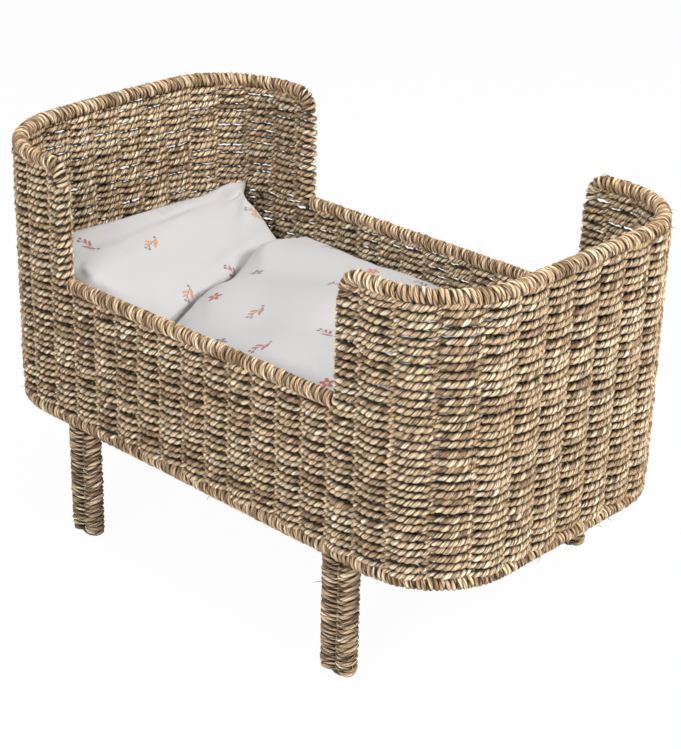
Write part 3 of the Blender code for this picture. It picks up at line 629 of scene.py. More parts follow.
# legs
legRope = {
    "rodSpacing": 0.018,
    "foot": -0.152,  # places along the bed
    "head": 0.132,
    "loops": 23.5,
    "samples": 70,
    "low": 0.0042,
    "high": 0.0968,
    "bend": 0.01075,  # height where the hairpin's rods start to bend together
    "dip": 0.0026,  # the rope sinks between the rods
    "dipRise": 0.01,
    "reach": 0.0047,  # rope's middle from the rod's middle
    "squareness": 0.6,  # of the way round a rod, 1 is round
    "pressed": 0.45,  # share of the width lost round the rods' outer sides
    "halfWidth": 0.0024,
    "halfThickness": 0.0025,
}
legLook = dict(rimLook, tone=0.42)
legSeeds = {("foot", "left"): 62, ("head", "left"): 66, ("foot", "right"): 64, ("head", "right"): 68}


def legWinding(x, y, seed):
    # figure of eight round both rods, drawn together where they bend
    theta = np.linspace(0, math.tau * legRope["loops"], int(legRope["loops"] * legRope["samples"]))
    height = np.linspace(legRope["low"], legRope["high"], len(theta))
    radius = legRope["rodSpacing"] / 2
    reach = np.sqrt(radius ** 2 - np.clip(legRope["bend"] - height, 0, radius) ** 2) + legRope["reach"]
    beside = np.sign(np.sin(2 * theta)) * np.abs(np.sin(2 * theta)) ** legRope["squareness"]
    straight = np.clip((height - legRope["bend"]) / legRope["dipRise"], 0, 1)
    height = height - legRope["dip"] * np.cos(2 * theta) * straight
    path = np.stack([x + legRope["reach"] * beside, y + reach * np.sin(theta), height], axis=1)
    tangent = np.gradient(path, axis=0)
    across = unit(np.stack([-tangent[:, 1], tangent[:, 0], np.zeros(len(theta))], axis=1))
    widthShare = 1 - legRope["pressed"] * np.abs(np.cos(theta)) ** 6
    return ropeRings(path, across, legRope, seed, widthShare, legLook)


for (endName, sideName), seed in legSeeds.items():
    x = wall["halfWidth"] if sideName == "right" else -wall["halfWidth"]
    piece = makeRope(endName + sideName.capitalize() + "LegRope", [legWinding(x, legRope[endName], seed)])
    dress(piece, legMaterial, "leg_rope", "bed", "leg_wrap_" + endName + "_" + sideName)
print("legs wound")


# loose ends of leaf
strays = {
    "count": 150,
    "halfWidth": 0.00026,
    "halfThickness": 0.00026,
    "shortest": 0.003,
    "longest": 0.0075,
    "curl": 1.2,
    "root": 0.0015,  # length hidden in the rope
    "ringDrop": 0.004,  # how far below the ring they may start
    "cornerHeights": (0.115, 0.205),
    "legHeights": (0.015, 0.09),
    "legReach": 0.0135,
}
# the loose ends' painted shade sits narrowly, mostly at their ply grooves
strayLook = dict(rope, angles=fewAngles, step=0.0012, lay=0.05, thickSpread=0.0, cavityShade=6.0, tone=0.65)


def looseEnds():
    # short curled fibres along the rims, on the walls and on the legs
    rng = np.random.default_rng(71)
    strands = []
    for index in range(strays["count"]):
        kind = index % 5
        point, out = wallPoint(rng.uniform(0, 2 * wall["half"]))
        if kind == 0:
            height, reach = wall["ringHeight"] - rng.uniform(0.0, strays["ringDrop"]), 0.0058
        elif kind == 1:
            point, out = wallPoint(places[edges[0]] + rng.uniform(0, wall["endRun"]))
            height, reach = wall["endRail"] + 0.003, 0.0045
        elif kind == 2:
            point, out = wallPoint(places[edges[2]] + rng.uniform(0, wall["endRun"]))
            height, reach = wall["endRail"] + 0.002, 0.0050
        elif kind == 3:
            height, reach = rng.uniform(*strays["cornerHeights"]), 0.0065
        else:
            side, rod = rng.choice([-1, 1]), rng.choice([legRope["foot"], legRope["head"]])
            point = np.array([side * wall["halfWidth"], rod + rng.choice([-1, 1]) * strays["legReach"], 0.0])
            out = np.array([side * 0.5, np.sign(point[1] - rod), 0.0])
            height, reach = rng.uniform(*strays["legHeights"]), 0.0015
        start = point + out * reach + np.array([0, 0, height])
        aim = unit(out * rng.uniform(0.3, 1.0) + rng.normal(0, 0.7, 3))
        bend = unit(rng.normal(0, 1, 3)) * strays["curl"]
        length = rng.uniform(strays["shortest"], strays["longest"])
        share = np.linspace(0, 1, 10)[:, None]
        path = start + length * (aim * share + bend * share ** 2 * 0.5) - aim * strays["root"]
        normal = np.tile(unit(np.cross(aim, bend))[None], (10, 1))
        strands.append(ropeRings(path, normal, strays, 300 + index, look=strayLook))
    dress(makeRope("looseEnds", strands), wallMaterial, "woven_rope", "bed")


looseEnds()
print("loose ends added")


# woven base
baseWeave = {
    "rowPitch": 0.0079,
    "halfWidth": 0.0041,
    "halfThickness": 0.0025,
    "offset": 0.0034,
    "wireHeight": 0.10395,
    "inset": 0.0055,  # reaches the wound ring
    "samples": 420,
}
baseLook = dict(rope, angles=fewAngles, step=0.0021)


def buildBase():
    wirePitch = 2 * wall["wingEdge"] / wall["sideGaps"]
    halfX = wall["halfWidth"] - baseWeave["inset"] - baseWeave["halfWidth"]
    halfY = wall["halfLength"] - baseWeave["inset"]
    radius = wall["cornerRadius"] - baseWeave["inset"]
    rows = int(2 * halfX / baseWeave["rowPitch"]) + 1
    strands = []
    for row in range(rows):
        x = -halfX + 2 * halfX * row / (rows - 1)
        past = max(0.0, abs(x) + baseWeave["halfWidth"] - (wall["halfWidth"] - baseWeave["inset"] - radius))
        end = halfY - radius + math.sqrt(max(0.0, radius ** 2 - past ** 2))
        y = np.linspace(-end, end, baseWeave["samples"])
        wave = np.cos(math.pi * (y / wirePitch + row))
        path = np.stack([np.full_like(y, x), y, baseWeave["wireHeight"] + baseWeave["offset"] * wave], axis=1)
        up = np.tile([0.0, 0.0, 1.0], (len(y), 1))
        strands.append(ropeRings(path, up, baseWeave, 100 + row, look=baseLook))
    dress(makeRope("baseWeave", strands), wallMaterial, "woven_rope", "bed", "base_mat")


buildBase()
print("base woven")


# wire
wire = {
    "colour": (0.055, 0.052, 0.047),
    "worn": (0.16, 0.13, 0.10),
    "wornShare": (0.52, 0.72),
    "rough": (0.0, 1.0, 0.35, 0.65),
    "patchScale": 160,
    "grainScale": 1500,
    "bump": (0.3, 0.0002),
}


def wireMaterial():
    material, tree, shader = newMaterial("paintedWire", 0.42, 0.5)
    place = node(tree, "ShaderNodeTexCoord").outputs["Object"]
    patches = noiseNode(tree, place, wire["patchScale"], 3, 0.6)
    worn = mapNode(tree, patches, *wire["wornShare"])
    tree.links.new(mixColour(tree, worn, wire["colour"], wire["worn"]), shader.inputs["Base Color"])
    tree.links.new(mapNode(tree, patches, *wire["rough"]), shader.inputs["Roughness"])
    addBump(tree, shader, noiseNode(tree, place, wire["grainScale"]), *wire["bump"])
    return material


wirePaint = wireMaterial()
wireNodes = ["base_frame", "head_frame", "foot_frame", "left_frame", "right_frame"]
wireNodes += ["leg_hairpin_" + endName + "_" + sideName for endName, sideName in legSeeds]
for name in wireNodes:
    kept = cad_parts[name]
    if not kept.material_slots:
        kept.data.materials.append(wirePaint)
    for place in kept.material_slots:
        place.material = wirePaint
print("wire painted")


# printed cotton; each shape is an ellipse: middle, half length, half width and turn in degrees
sprig = {
    "leaves": ((-0.34, 0.22, 0.30, 0.12, 38), (0.02, 0.36, 0.30, 0.12, 48),
               (0.12, -0.24, 0.30, 0.12, -42), (0.46, -0.10, 0.28, 0.11, -34)),
    "stems": ((0.0, 0.02, 0.85, 0.035, 4), (0.60, 0.20, 0.30, 0.03, 32)),
    "berries": ((0.80, 0.34, 0.13, 0.13, 0), (0.92, 0.04, 0.12, 0.12, 0), (-0.72, -0.20, 0.12, 0.12, 0)),
    "petals": [(0.30 * math.cos(turn), 0.30 * math.sin(turn), 0.27, 0.15, math.degrees(turn))
               for turn in (0.3, 1.56, 2.81, 4.07, 5.33)],
    "bloomMiddle": (0, 0, 0.13, 0.13, 0),
    "leafColours": ((0.0, (0.31, 0.045, 0.045)), (0.3, (0.52, 0.20, 0.05)),
                    (0.52, (0.12, 0.13, 0.12)), (0.76, (0.42, 0.10, 0.10))),
    "berryColours": ((0.0, (0.22, 0.05, 0.05)), (0.3, (0.16, 0.10, 0.07)),
                     (0.52, (0.42, 0.12, 0.08)), (0.76, (0.20, 0.13, 0.10))),
    "stemColour": (0.08, 0.075, 0.07),
    "middleColour": (0.52, 0.33, 0.10),
    "drift": 0.42,  # shift of a motif within its cell
    "sprigFrom": 0.36,  # chance below which a cell has a bloom
    "present": 0.86,
    "ink": 0.82,
    "edgeNoise": 900,
    "edgeShare": 0.35,
    "edge": (1.28, 1.08),
}


def sprigGroup():
    # loose sprigs, berries and small blooms, one to a cell of the cloth, each turned and shifted by chance
    tree, given, result = newGroup("sprigPrint", [
        ("Coordinate", "Vector", (0, 0, 0)),
        ("Spacing", "Float", 0.05),
        ("Size", "Float", 0.009),
    ], [("Color", "Color"), ("Mask", "Float")])
    scaled = scaleNode(tree, given["Coordinate"], mathNode(tree, "DIVIDE", 1.0, given["Spacing"]))
    cell = vectorNode(tree, "FLOOR", scaled)
    local = vectorNode(tree, "SUBTRACT", vectorNode(tree, "SUBTRACT", scaled, cell), (0.5, 0.5, 0))

    def chance(shift):
        # three numbers from 0 to 1 for each cell
        made = node(tree, "ShaderNodeTexWhiteNoise", noise_dimensions="3D")
        tree.links.new(vectorNode(tree, "ADD", cell, shift), made.inputs["Vector"])
        split = node(tree, "ShaderNodeSeparateXYZ")
        tree.links.new(made.outputs["Color"], split.inputs[0])
        return made.outputs["Color"], split.outputs

    driftChance, (_, _, presentChance) = chance((0.7, 3.1, 0.0))
    _, (turnChance, kindChance, colourChance) = chance((5.3, 1.9, 0.0))
    drift = vectorNode(tree, "SUBTRACT", driftChance, (0.5, 0.5, 0.5))
    drift = vectorNode(tree, "MULTIPLY", drift, (sprig["drift"], sprig["drift"], 0))
    local = vectorNode(tree, "SUBTRACT", local, drift)
    turned = turnNode(tree, local, mathNode(tree, "MULTIPLY", turnChance, math.tau))
    sized = scaleNode(tree, turned, mathNode(tree, "DIVIDE", given["Spacing"], given["Size"]))
    spot = vectorNode(tree, "MULTIPLY", sized, (1, 1, 0))
    rough = noiseNode(tree, given["Coordinate"], sprig["edgeNoise"], 1)

    def ellipse(x, y, halfLength, halfWidth, degrees):
        spun = turnNode(tree, vectorNode(tree, "SUBTRACT", spot, (x, y, 0)), -math.radians(degrees))
        reach = vectorNode(tree, "LENGTH", vectorNode(tree, "DIVIDE", spun, (halfLength, halfWidth, 1)))
        reach = mathNode(tree, "MULTIPLY_ADD", rough, sprig["edgeShare"], reach)
        return mapNode(tree, reach, *sprig["edge"])

    def together(masks):
        joined = masks[0]
        for mask in masks[1:]:
            joined = mathNode(tree, "MAXIMUM", joined, mask)
        return joined

    def drawn(label, wanted):
        return mathNode(tree, "MULTIPLY", together([ellipse(*shape) for shape in sprig[label]]), wanted)

    isSprig = mathNode(tree, "GREATER_THAN", kindChance, sprig["sprigFrom"])
    isBloom = mathNode(tree, "SUBTRACT", 1.0, isSprig)
    leaves, stems, berries = [drawn(label, isSprig) for label in ("leaves", "stems", "berries")]
    petals = drawn("petals", isBloom)
    middle = mathNode(tree, "MULTIPLY", ellipse(*sprig["bloomMiddle"]), isBloom)
    leafColour = stepRamp(tree, colourChance, sprig["leafColours"])
    berryColour = stepRamp(tree, colourChance, sprig["berryColours"])
    colour = mixColour(tree, mathNode(tree, "MAXIMUM", leaves, petals), sprig["stemColour"], leafColour)
    colour = mixColour(tree, berries, colour, berryColour)
    colour = mixColour(tree, middle, colour, sprig["middleColour"])
    present = mathNode(tree, "LESS_THAN", presentChance, sprig["present"])
    mask = mathNode(tree, "MULTIPLY", together([stems, leaves, berries, petals, middle]), present)
    mask = mathNode(tree, "MULTIPLY", mask, sprig["ink"])
    feedAll(tree, (result["Color"], result["Mask"]), (colour, mask))
    return tree


cotton = {
    "printedCotton": {"tint": (0.45, 0.45, 0.455), "print": {"Spacing": 0.060, "Size": 0.0105}},
    "plainCotton": {"tint": (0.45, 0.45, 0.44), "print": None},
    "threads": 2600.0,  # radians of the weave's waves for a metre
    "threadHeight": 0.08,
    "softScale": 60,
    "shade": (0.0, 1.0, 0.965, 1.02),
    "sheen": 0.12,
    "bump": (0.25, 0.0006),
}


def clothGroup():
    tree, given, result = newGroup("cottonCloth", [
        ("Coordinate", "Vector", (0, 0, 0)),
        ("Tint", "Color", (0.8, 0.79, 0.78)),
        ("Threads", "Float", cotton["threads"]),
    ], [("Color", "Color"), ("Height", "Float")])
    split = node(tree, "ShaderNodeSeparateXYZ")
    tree.links.new(given["Coordinate"], split.inputs[0])
    warp, weft = [mathNode(tree, "SINE", mathNode(tree, "MULTIPLY", split.outputs[k], given["Threads"]))
                  for k in range(2)]
    soft = noiseNode(tree, given["Coordinate"], cotton["softScale"], 4, 0.6)
    threads = mathNode(tree, "MULTIPLY", warp, weft)
    height = mathNode(tree, "MULTIPLY_ADD", threads, cotton["threadHeight"], soft)
    colour = scaleNode(tree, given["Tint"], mapNode(tree, soft, *cotton["shade"]))
    feedAll(tree, (result["Color"], result["Height"]), (colour, height))
    return tree


printGroup, cottonGroup = sprigGroup(), clothGroup()


def cottonMaterial(name):
    look = cotton[name]
    material, tree, shader = newMaterial(name, 0.88, 0.2)
    shader.inputs["Sheen Weight"].default_value = cotton["sheen"]
    shader.inputs["Sheen Roughness"].default_value = 0.5
    place = node(tree, "ShaderNodeUVMap", uv_map="fibre").outputs["UV"]
    cloth = placeGroup(tree, cottonGroup, {"Tint": look["tint"], "Coordinate": place})
    colour = cloth["Color"]
    if look["print"]:
        sprigs = placeGroup(tree, printGroup, dict(look["print"], Coordinate=place))
        colour = mixColour(tree, sprigs["Mask"], colour, sprigs["Color"])
    tree.links.new(colour, shader.inputs["Base Color"])
    addBump(tree, shader, cloth["Height"], *cotton["bump"])
    return material


printedCotton, plainCotton = cottonMaterial("printedCotton"), cottonMaterial("plainCotton")


# bedding
stuffing = {
    "quality": 6,
    "mass": 0.15,
    "tension_stiffness": 20,
    "compression_stiffness": 20,
    "shear_stiffness": 8,
    "bending_stiffness": 0.08,
    "use_pressure": True,
}
stuffingFrames = 20


def cushionPiece(name, sheet, look):
    # two skins over one middle sheet, joined along a seam; sheet gives middle points from shares -1 to 1
    columns, rows = look["columns"], look["rows"]
    u = np.sin(math.pi / 2 * np.linspace(-1, 1, columns + 1))
    v = np.sin(math.pi / 2 * np.linspace(-1, 1, rows + 1))
    across, along = np.meshgrid(u, v)
    middle = sheet(across, along)
    normal = unit(np.cross(np.gradient(middle, axis=1), np.gradient(middle, axis=0)))
    rise = (1 - across ** 2) ** np.where(across > 0, *look["sideCrown"])
    rise = rise * (1 - along ** 2) ** np.where(along > 0, *look["endCrown"])
    skins = []
    for face in (1, -1):
        lift = (rise * (1 - look["seam"]) + look["seam"]) * look["halfThickness"] * face
        skins.append((middle + normal * lift[..., None]).reshape(-1, 3))
    size = len(skins[0])
    ids = np.arange(size).reshape(rows + 1, columns + 1)
    upper = np.stack([ids[:-1, :-1], ids[:-1, 1:], ids[1:, 1:], ids[1:, :-1]], axis=-1).reshape(-1, 4)
    loop = np.concatenate([ids[0, :-1], ids[:-1, -1], ids[-1, :0:-1], ids[:0:-1, 0]])
    following = np.roll(loop, -1)
    seam = np.stack([loop + size, following + size, following, loop], axis=-1)
    return makePiece(name, np.concatenate(skins), np.concatenate([upper, upper[:, ::-1] + size, seam]))


def settle(piece):
    # the mesh that the modifiers give takes the old one's place
    graph = bpy.context.evaluated_depsgraph_get()
    result = bpy.data.meshes.new_from_object(piece.evaluated_get(graph))
    piece.modifiers.clear()
    piece.data = result


def inflate(piece, look):
    # stuffed cloth: swollen by a cloth simulation, no point moved further than the cap or below the lowest
    remesh = piece.modifiers.new("voxels", "REMESH")
    remesh.mode = "VOXEL"
    remesh.voxel_size = look["voxel"]
    settle(piece)
    start = readVectors(piece.data)
    cloth = piece.modifiers.new("cloth", "CLOTH")
    for label, value in stuffing.items():
        setattr(cloth.settings, label, value)
    cloth.settings.uniform_pressure_force = look["pressure"]
    cloth.settings.effector_weights.gravity = 0
    cloth.point_cache.frame_start, cloth.point_cache.frame_end = 1, stuffingFrames
    for step in range(stuffingFrames):
        bpy.context.scene.frame_set(step + 1)
    settle(piece)
    bpy.context.scene.frame_set(1)
    moved = readVectors(piece.data) - start
    far = np.linalg.norm(moved, axis=1, keepdims=True)
    print(piece.name, "swells by up to", round(float(far.max()) * 1000, 1), "mm, kept to", look["cap"] * 1000)
    swollen = start + moved * np.minimum(1, look["cap"] / np.maximum(far, 1e-9))
    swollen[:, 2] = np.maximum(swollen[:, 2], look["lowest"])
    piece.data.vertices.foreach_set("co", swollen.ravel())
    piece.data.shade_smooth()


def crease(piece, look, alongShare, folds):
    # folds pressed into the upper side of a swollen piece, fading to its edge
    mesh = piece.data
    points, normals = readVectors(mesh), readVectors(mesh, "normal")
    across, along = points[:, 0] / look["halfX"], alongShare(points)
    inside = 1 - np.maximum(np.abs(across), np.abs(along))
    fade = np.clip(inside / look["foldEdge"], 0, 1) * np.clip(normals[:, 2] * 2, 0, 1)
    points += normals * (folds(across, along) * fade)[:, None]
    mesh.vertices.foreach_set("co", points.ravel())
    mesh.update()


def layFlat(piece, alongY, alongZ):
    # cloth coordinates in metres, from where a corner lies along the piece; the underside has its own place
    mesh = piece.data
    points = readVectors(mesh)
    ids = np.empty(len(mesh.loops), np.int32)
    mesh.loops.foreach_get("vertex_index", ids)
    sizes = np.empty(len(mesh.polygons), np.int32)
    mesh.polygons.foreach_get("loop_total", sizes)
    facing = readVectors(mesh, "normal") @ np.array([0, -alongZ, alongY])
    starts = np.concatenate([[0], np.cumsum(sizes)[:-1]])
    under = np.repeat(np.add.reduceat(facing[ids], starts) < 0, sizes)
    up = points[ids, 1] * alongY + points[ids, 2] * alongZ + np.where(under, 0.6, 0.0)
    flat = np.column_stack([points[ids, 0], up])
    mesh.uv_layers.new(name="fibre").uv.foreach_set("vector", flat.astype(np.float32).ravel())


def addFolds(folds, table, across, along):
    # each row: height, middle, turn in degrees, half length and half width of one soft fold
    for height, x, y, degrees, length, width in table:
        c, s = math.cos(math.radians(degrees)), math.sin(math.radians(degrees))
        p = (across - x) * c + (along - y) * s
        q = -(across - x) * s + (along - y) * c
        folds = folds + height * np.exp(-(p / length) ** 2 - (q / width) ** 2)
    return folds


def slant(left, right, across):
    return left + (right - left) * (across + 1) / 2


def finishCushion(piece, body):
    soften = piece.modifiers.new("soften", "SUBSURF")
    soften.levels = soften.render_levels = 1
    dress(piece, printedCotton, "printed_cotton", body, body)


# pillow
pillow = {
    "columns": 80,
    "rows": 56,
    "halfX": 0.1165,
    "halfThickness": 0.0160,
    "sideCrown": (0.36, 0.12),  # roundness at the right and left end, then at the upper and lower edge
    "endCrown": (0.40, 0.13),
    "seam": 0.16,
    "leftBottomY": 0.080,
    "rightBottomY": 0.153,
    "topY": 0.2165,
    "bottomZ": 0.1650,
    "topZ": 0.2280,
    "drawnIn": (0.055, 0.075),  # the ends and the long edges are hollow
    "ear": 0.085,  # the right upper corner stands out
    "leftEnd": 0.085,  # the left end lies against the wall
    "leftCorner": 0.42,  # the left upper corner is rounded
    "voxel": 0.0035,
    "pressure": 4.0,
    "cap": 0.0045,
    "lowest": 0.1485,
    "folds": (
        (-0.0046, 0.05, 0.60, 5, 0.75, 0.10),  # hollow below the upper edge
        (0.0020, 0.05, 0.80, 5, 0.70, 0.08),
        (-0.0044, 0.80, 0.66, 38, 0.30, 0.06),  # from the right upper ear
        (0.0026, 0.72, 0.80, 30, 0.30, 0.06),
        (-0.0034, 0.80, 0.34, 62, 0.34, 0.06),
        (-0.0012, -0.70, 0.60, -24, 0.30, 0.08),  # from the left corner
        (-0.0014, -0.35, 0.36, 18, 0.30, 0.07),
        (-0.0020, 0.25, -0.45, 16, 0.5, 0.10),
    ),
    "ripple": 0.0010,
    "foldEdge": 0.08,
}


def pillowSheet(across, along):
    a = across * (1 - pillow["drawnIn"][0] * (1 - along ** 2) * across ** 2)
    b = along * (1 - pillow["drawnIn"][1] * (1 - across ** 2) * along ** 2)
    a = a + pillow["ear"] * np.clip(a - 0.8, 0, 1) / 0.2 * np.clip(b - 0.55, 0, 1) / 0.45
    a = a - pillow["leftEnd"] * np.clip(-a - 0.2, 0, 1) / 0.8
    b = b - pillow["leftCorner"] * (np.clip(-a - 0.66, 0, 1) / 0.34) ** 2 * np.clip(b, 0, 1) ** 2
    lowY = slant(pillow["leftBottomY"], pillow["rightBottomY"], a)
    share = (b + 1) / 2
    return np.stack([pillow["halfX"] * a, lowY + (pillow["topY"] - lowY) * share,
                     pillow["bottomZ"] + (pillow["topZ"] - pillow["bottomZ"]) * share], axis=-1)


def pillowAlong(points):
    # how far up the pillow's slope a point lies, -1 to 1
    lowY = slant(pillow["leftBottomY"], pillow["rightBottomY"], points[:, 0] / pillow["halfX"])
    run, climb = pillow["topY"] - lowY, pillow["topZ"] - pillow["bottomZ"]
    up = (points[:, 1] - lowY) * run + (points[:, 2] - pillow["bottomZ"]) * climb
    return 2 * up / (run ** 2 + climb ** 2) - 1


def pillowFolds(across, along):
    folds = addFolds(0, pillow["folds"], across, along)
    return folds + pillow["ripple"] * np.sin(5.2 * across + 2.1 * along) * np.sin(3.7 * along - 1.3 * across)


def buildPillow():
    piece = cushionPiece("pillowCushion", pillowSheet, pillow)
    inflate(piece, pillow)
    crease(piece, pillow, pillowAlong, pillowFolds)
    layFlat(piece, 0.80, 0.60)
    finishCushion(piece, "pillow")


# duvet
duvet = {
    "columns": 64,
    "rows": 84,
    "wallFace": 0.0081,  # inner face of the wall from its middle line, and the gap that is left
    "wallGap": 0.0015,
    "halfThickness": 0.0165,
    "sideCrown": (0.16, 0.13),
    "endCrown": (0.16, 0.18),
    "seam": 0.12,
    "edgeZ": 0.1805,  # height of the seam
    "edgeWave": 0.002,
    "headLeftY": 0.081,
    "headRightY": 0.157,
    "headCorner": 0.012,
    "reachDown": 1.6,  # the underside is stretched down to the mattress
    "halfX": 0.126,
    "middleY": -0.059,
    "crownHalfY": 0.19,
    "crown": 0.006,  # fuller in the middle
    "dip": 0.007,  # lower at the head's left
    "heap": 0.014,  # piled up against the pillow
    "heapY": 0.140,
    "heapWidth": 0.060,
    "voxel": 0.004,
    "pressure": 3.0,
    "cap": 0.004,
    "lowest": 0.1490,  # lies flat on the mattress
    "folds": (
        (-0.0022, -0.2, 0.55, 25, 0.7, 0.13),
        (-0.0020, 0.45, 0.15, -18, 0.5, 0.12),
        (0.0018, 0.05, 0.28, 8, 0.6, 0.12),
    ),
    "swell": 0.0028,
    "ripple": 0.0013,
    "foldEdge": 0.12,
}


def duvetSheet(across, along):
    # round at the foot, cut on the slant at the head
    halfX = wall["halfWidth"] - duvet["wallFace"] - duvet["wallGap"]
    foot = -(wall["halfLength"] - duvet["wallFace"] - duvet["wallGap"])
    radius = wall["cornerRadius"] - duvet["wallFace"] - duvet["wallGap"]
    headY = slant(duvet["headLeftY"], duvet["headRightY"], across)
    x = halfX * across
    past = np.maximum(0, np.abs(x) - (halfX - radius))
    footY = foot + radius - np.sqrt(np.maximum(0, radius ** 2 - past ** 2))
    near = duvet["headCorner"] * np.abs(across) ** 6
    y = footY + (headY - near - footY) * (along + 1) / 2
    return np.stack([x, y, duvet["edgeZ"] + duvet["edgeWave"] * np.sin(9 * across + 4 * along)], axis=-1)


def shapeDuvet(mesh):
    # down to the mattress, fuller in the middle, piled up against the pillow
    points = readVectors(mesh)
    x, y, z = points.T
    z -= np.clip(duvet["edgeZ"] - z - 0.002, 0, 1) * duvet["reachDown"]
    high = np.clip((z - duvet["edgeZ"]) / duvet["halfThickness"], 0, 1.5)
    crown = np.clip(1 - (x / duvet["halfX"]) ** 2, 0, 1)
    crown = crown * np.clip(1 - ((y - duvet["middleY"]) / duvet["crownHalfY"]) ** 2, 0, 1)
    z += duvet["crown"] * np.sqrt(crown) * high
    high = np.clip(high, 0, 1)
    ridge = np.clip((x + 0.06) / 0.12, 0, 1)
    heap = np.exp(-((y - duvet["heapY"]) / duvet["heapWidth"]) ** 2) * ridge * ridge * (3 - 2 * ridge)
    left = np.exp(-((x + duvet["halfX"]) / 0.07) ** 2)
    z -= duvet["dip"] * left * np.clip((y + 0.05) / 0.12, 0, 1) * high
    z += duvet["heap"] * heap * high
    z[:] = np.maximum(z, duvet["lowest"])
    mesh.vertices.foreach_set("co", points.ravel())
    mesh.update()


def duvetAlong(points):
    return (points[:, 1] + 0.06) / duvet["crownHalfY"]


def duvetFolds(across, along):
    folds = duvet["swell"] * np.sin(2.6 * along + 1.4 * across + 0.7) * np.cos(1.9 * across - 0.8 * along)
    folds = folds + duvet["ripple"] * np.sin(5.5 * along - 2.6 * across)
    return addFolds(folds, duvet["folds"], across, along)


def buildDuvet():
    piece = cushionPiece("duvetCover", duvetSheet, duvet)
    shapeDuvet(piece.data)
    inflate(piece, duvet)
    crease(piece, duvet, duvetAlong, duvetFolds)
    layFlat(piece, 1.0, 0.0)
    finishCushion(piece, "duvet")


# mattress
mattress = {
    "spare": 0.0028,  # fills the space between the walls
    "cornerInset": 0.0088,
    "cornerPoints": 15,
    "spacing": 0.006,
    "lift": 0.0003,
    "height": 0.0354,
    "middleInset": 0.03,
    "middleShares": (0.02, 0.4, 0.75),
    "profile": (  # inset and rise, with a piped seam below and above
        (0.030, 0.0), (0.010, 0.0), (0.003, 0.001), (0.0006, 0.0035), (0.0, 0.0055), (0.0014, 0.0068),
        (0.0002, 0.0085), (0.0, 0.017), (0.0002, 0.0265), (0.0014, 0.0282), (0.0, 0.0295), (0.0006, 0.0315),
        (0.003, 0.0335), (0.010, 0.0346), (0.030, 0.0350),
    ),
}


def mattressOutline(halfX, halfY):
    radius = wall["cornerRadius"] - mattress["cornerInset"]
    steps = mattress["cornerPoints"] - 1
    corners = []
    for signX, signY, start in ((1, 1, 0), (-1, 1, 90), (-1, -1, 180), (1, -1, 270)):
        for k in range(steps + 1):
            angle = math.radians(start + 90 * k / steps)
            corners.append((signX * (halfX - radius) + radius * math.cos(angle),
                            signY * (halfY - radius) + radius * math.sin(angle)))
    corners = np.array(corners)
    outline = []
    for here, there in zip(corners, np.roll(corners, -1, axis=0)):
        parts = max(1, int(np.linalg.norm(there - here) / mattress["spacing"]))
        outline += [here + (there - here) * i / parts for i in range(parts)]
    return np.array(outline)


def buildMattress():
    low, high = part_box("mattress")
    outline = mattressOutline(high.x + mattress["spare"], high.y + mattress["spare"])
    inward = unit(outline * np.array([1.0, 0.6]))
    middle = outline - inward * mattress["middleInset"]
    bottom, shares = low.z + mattress["lift"], mattress["middleShares"]
    rings = [(middle * share, bottom) for share in shares]
    rings += [(outline - inward * inset, bottom + rise) for inset, rise in mattress["profile"]]
    rings += [(middle * share, low.z + mattress["height"]) for share in shares[::-1]]
    points = np.stack([np.column_stack([ring, np.full(len(ring), z)]) for ring, z in rings])
    count, size = points.shape[:2]
    ids = np.arange(count * size).reshape(count, size)
    follow = np.roll(ids, -1, axis=1)
    quads = np.stack([ids[:-1], follow[:-1], follow[1:], ids[1:]], axis=-1).reshape(-1, 4)
    points = points.reshape(-1, 3)
    piece = makePiece("mattressPad", points, quads, points[quads.reshape(-1), :2])
    dress(piece, plainCotton, "mattress_cotton", "mattress", "mattress")


buildPillow()
buildDuvet()
buildMattress()
print("bedding laid")


# studio
studio = {
    "location": (-1.0043, -0.951, 0.796),
    "right": (0.7122, -0.7019, 0.0069),
    "up": (0.2942, 0.3075, 0.9049),
    "focalPixels": 1920.3,
    "width": 681,
    "sensor": 36,
    "shift": 0.1077,
    "world": 0.12,
    "floorHalf": 6,
    "floorColour": (0.86, 0.86, 0.86),
    "floorGlow": 0.97,
}
lamps = {  # place, target, watts, size and colour
    "keyLamp": ((0.5, -1.5, 1.25), (0, 0, 0.15), 31, 0.45, (1.0, 0.97, 0.93)),
    "fillLamp": ((-1.7, -0.5, 1.15), (0, 0, 0.15), 25, 0.6, (0.99, 0.99, 1.0)),
    "topLamp": ((-0.1, 0.0, 2.1), (0, 0, 0.1), 24, 1.0, (1.0, 0.99, 0.98)),
}


def areaLamp(name, place, target, power, size, colour):
    lamp = bpy.data.lights.new(name, "AREA")
    lamp.energy, lamp.size, lamp.color = power, size, colour
    holder = bpy.data.objects.new(name, lamp)
    holder.location = place
    holder.rotation_euler = (Vector(target) - Vector(place)).to_track_quat("-Z", "Y").to_euler()
    bpy.context.scene.collection.objects.link(holder)


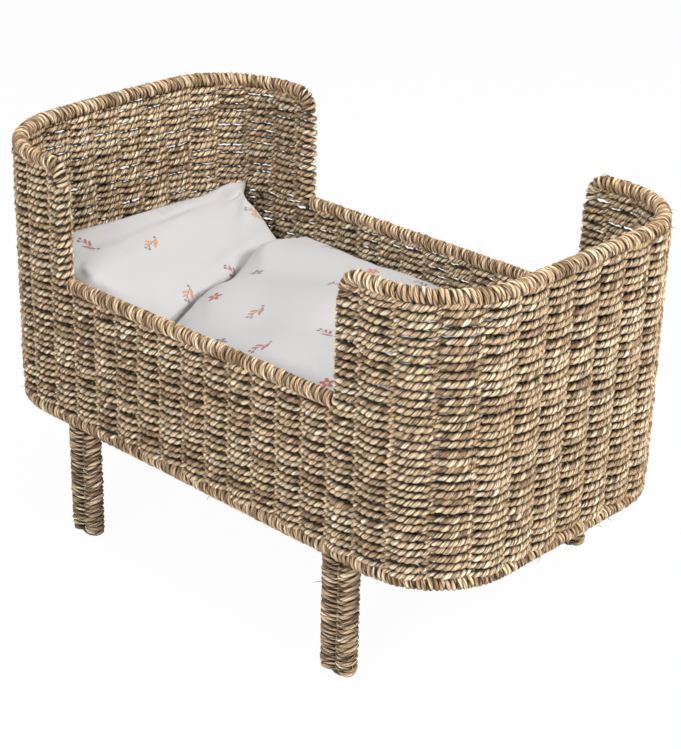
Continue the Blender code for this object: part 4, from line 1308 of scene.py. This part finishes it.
def photoCamera():
    right, up = Vector(studio["right"]).normalized(), Vector(studio["up"]).normalized()
    camera = bpy.data.cameras.new("photoCamera")
    camera.sensor_fit = "HORIZONTAL"
    camera.sensor_width = studio["sensor"]
    camera.lens = studio["focalPixels"] * studio["sensor"] / studio["width"]
    camera.shift_x = studio["shift"]
    camera.clip_start, camera.clip_end = 0.05, 20
    holder = bpy.data.objects.new("photoCamera", camera)
    turn = Matrix((right, up, right.cross(up))).transposed()
    holder.matrix_world = Matrix.Translation(studio["location"]) @ turn.to_4x4()
    bpy.context.scene.collection.objects.link(holder)
    bpy.context.scene.camera = holder


def whiteWhereSeen(tree, lit, white, share=1.0):
    # one shader lights the bed, the other is what the camera, gloss and glass see
    rays = node(tree, "ShaderNodeLightPath").outputs
    seen = mathNode(tree, "MAXIMUM", rays["Is Camera Ray"], rays["Is Glossy Ray"])
    seen = mathNode(tree, "MAXIMUM", seen, rays["Is Transmission Ray"])
    mix = node(tree, "ShaderNodeMixShader")
    feedAll(tree, mix.inputs, (mathNode(tree, "MULTIPLY", seen, share), lit.outputs[0], white.outputs[0]))
    return mix.outputs[0]


def buildWorld():
    world = bpy.data.worlds.new("studioWorld")
    bpy.context.scene.world = world
    world.use_nodes = True
    tree = world.node_tree
    tree.nodes.clear()
    soft, plain = [node(tree, "ShaderNodeBackground") for _ in range(2)]
    soft.inputs["Color"].default_value = plain.inputs["Color"].default_value = (1, 1, 1, 1)
    soft.inputs["Strength"].default_value = studio["world"]
    mixed = whiteWhereSeen(tree, soft, plain)
    tree.links.new(mixed, node(tree, "ShaderNodeOutputWorld").inputs[0])


def buildFloor():
    reach = studio["floorHalf"]
    mesh = bpy.data.meshes.new("floor")
    mesh.from_pydata([(-reach, -reach, 0), (reach, -reach, 0), (reach, reach, 0), (-reach, reach, 0)], [],
                     [(0, 1, 2, 3)])
    floor = bpy.data.objects.new("floor", mesh)
    bpy.context.scene.collection.objects.link(floor)
    material, tree, shader = newMaterial("paleFloor", 0.9, 0.1)
    shader.inputs["Base Color"].default_value = (*studio["floorColour"], 1)
    glow = node(tree, "ShaderNodeEmission")
    glow.inputs["Color"].default_value = (1, 1, 1, 1)
    output = next(made for made in tree.nodes if made.type == "OUTPUT_MATERIAL")
    tree.links.new(whiteWhereSeen(tree, shader, glow, studio["floorGlow"]), output.inputs[0])
    mesh.materials.append(material)


bpy.context.scene.view_settings.view_transform = "Standard"
photoCamera()
for name, values in lamps.items():
    areaLamp(name, *values)
buildWorld()
buildFloor()
print("studio ready")
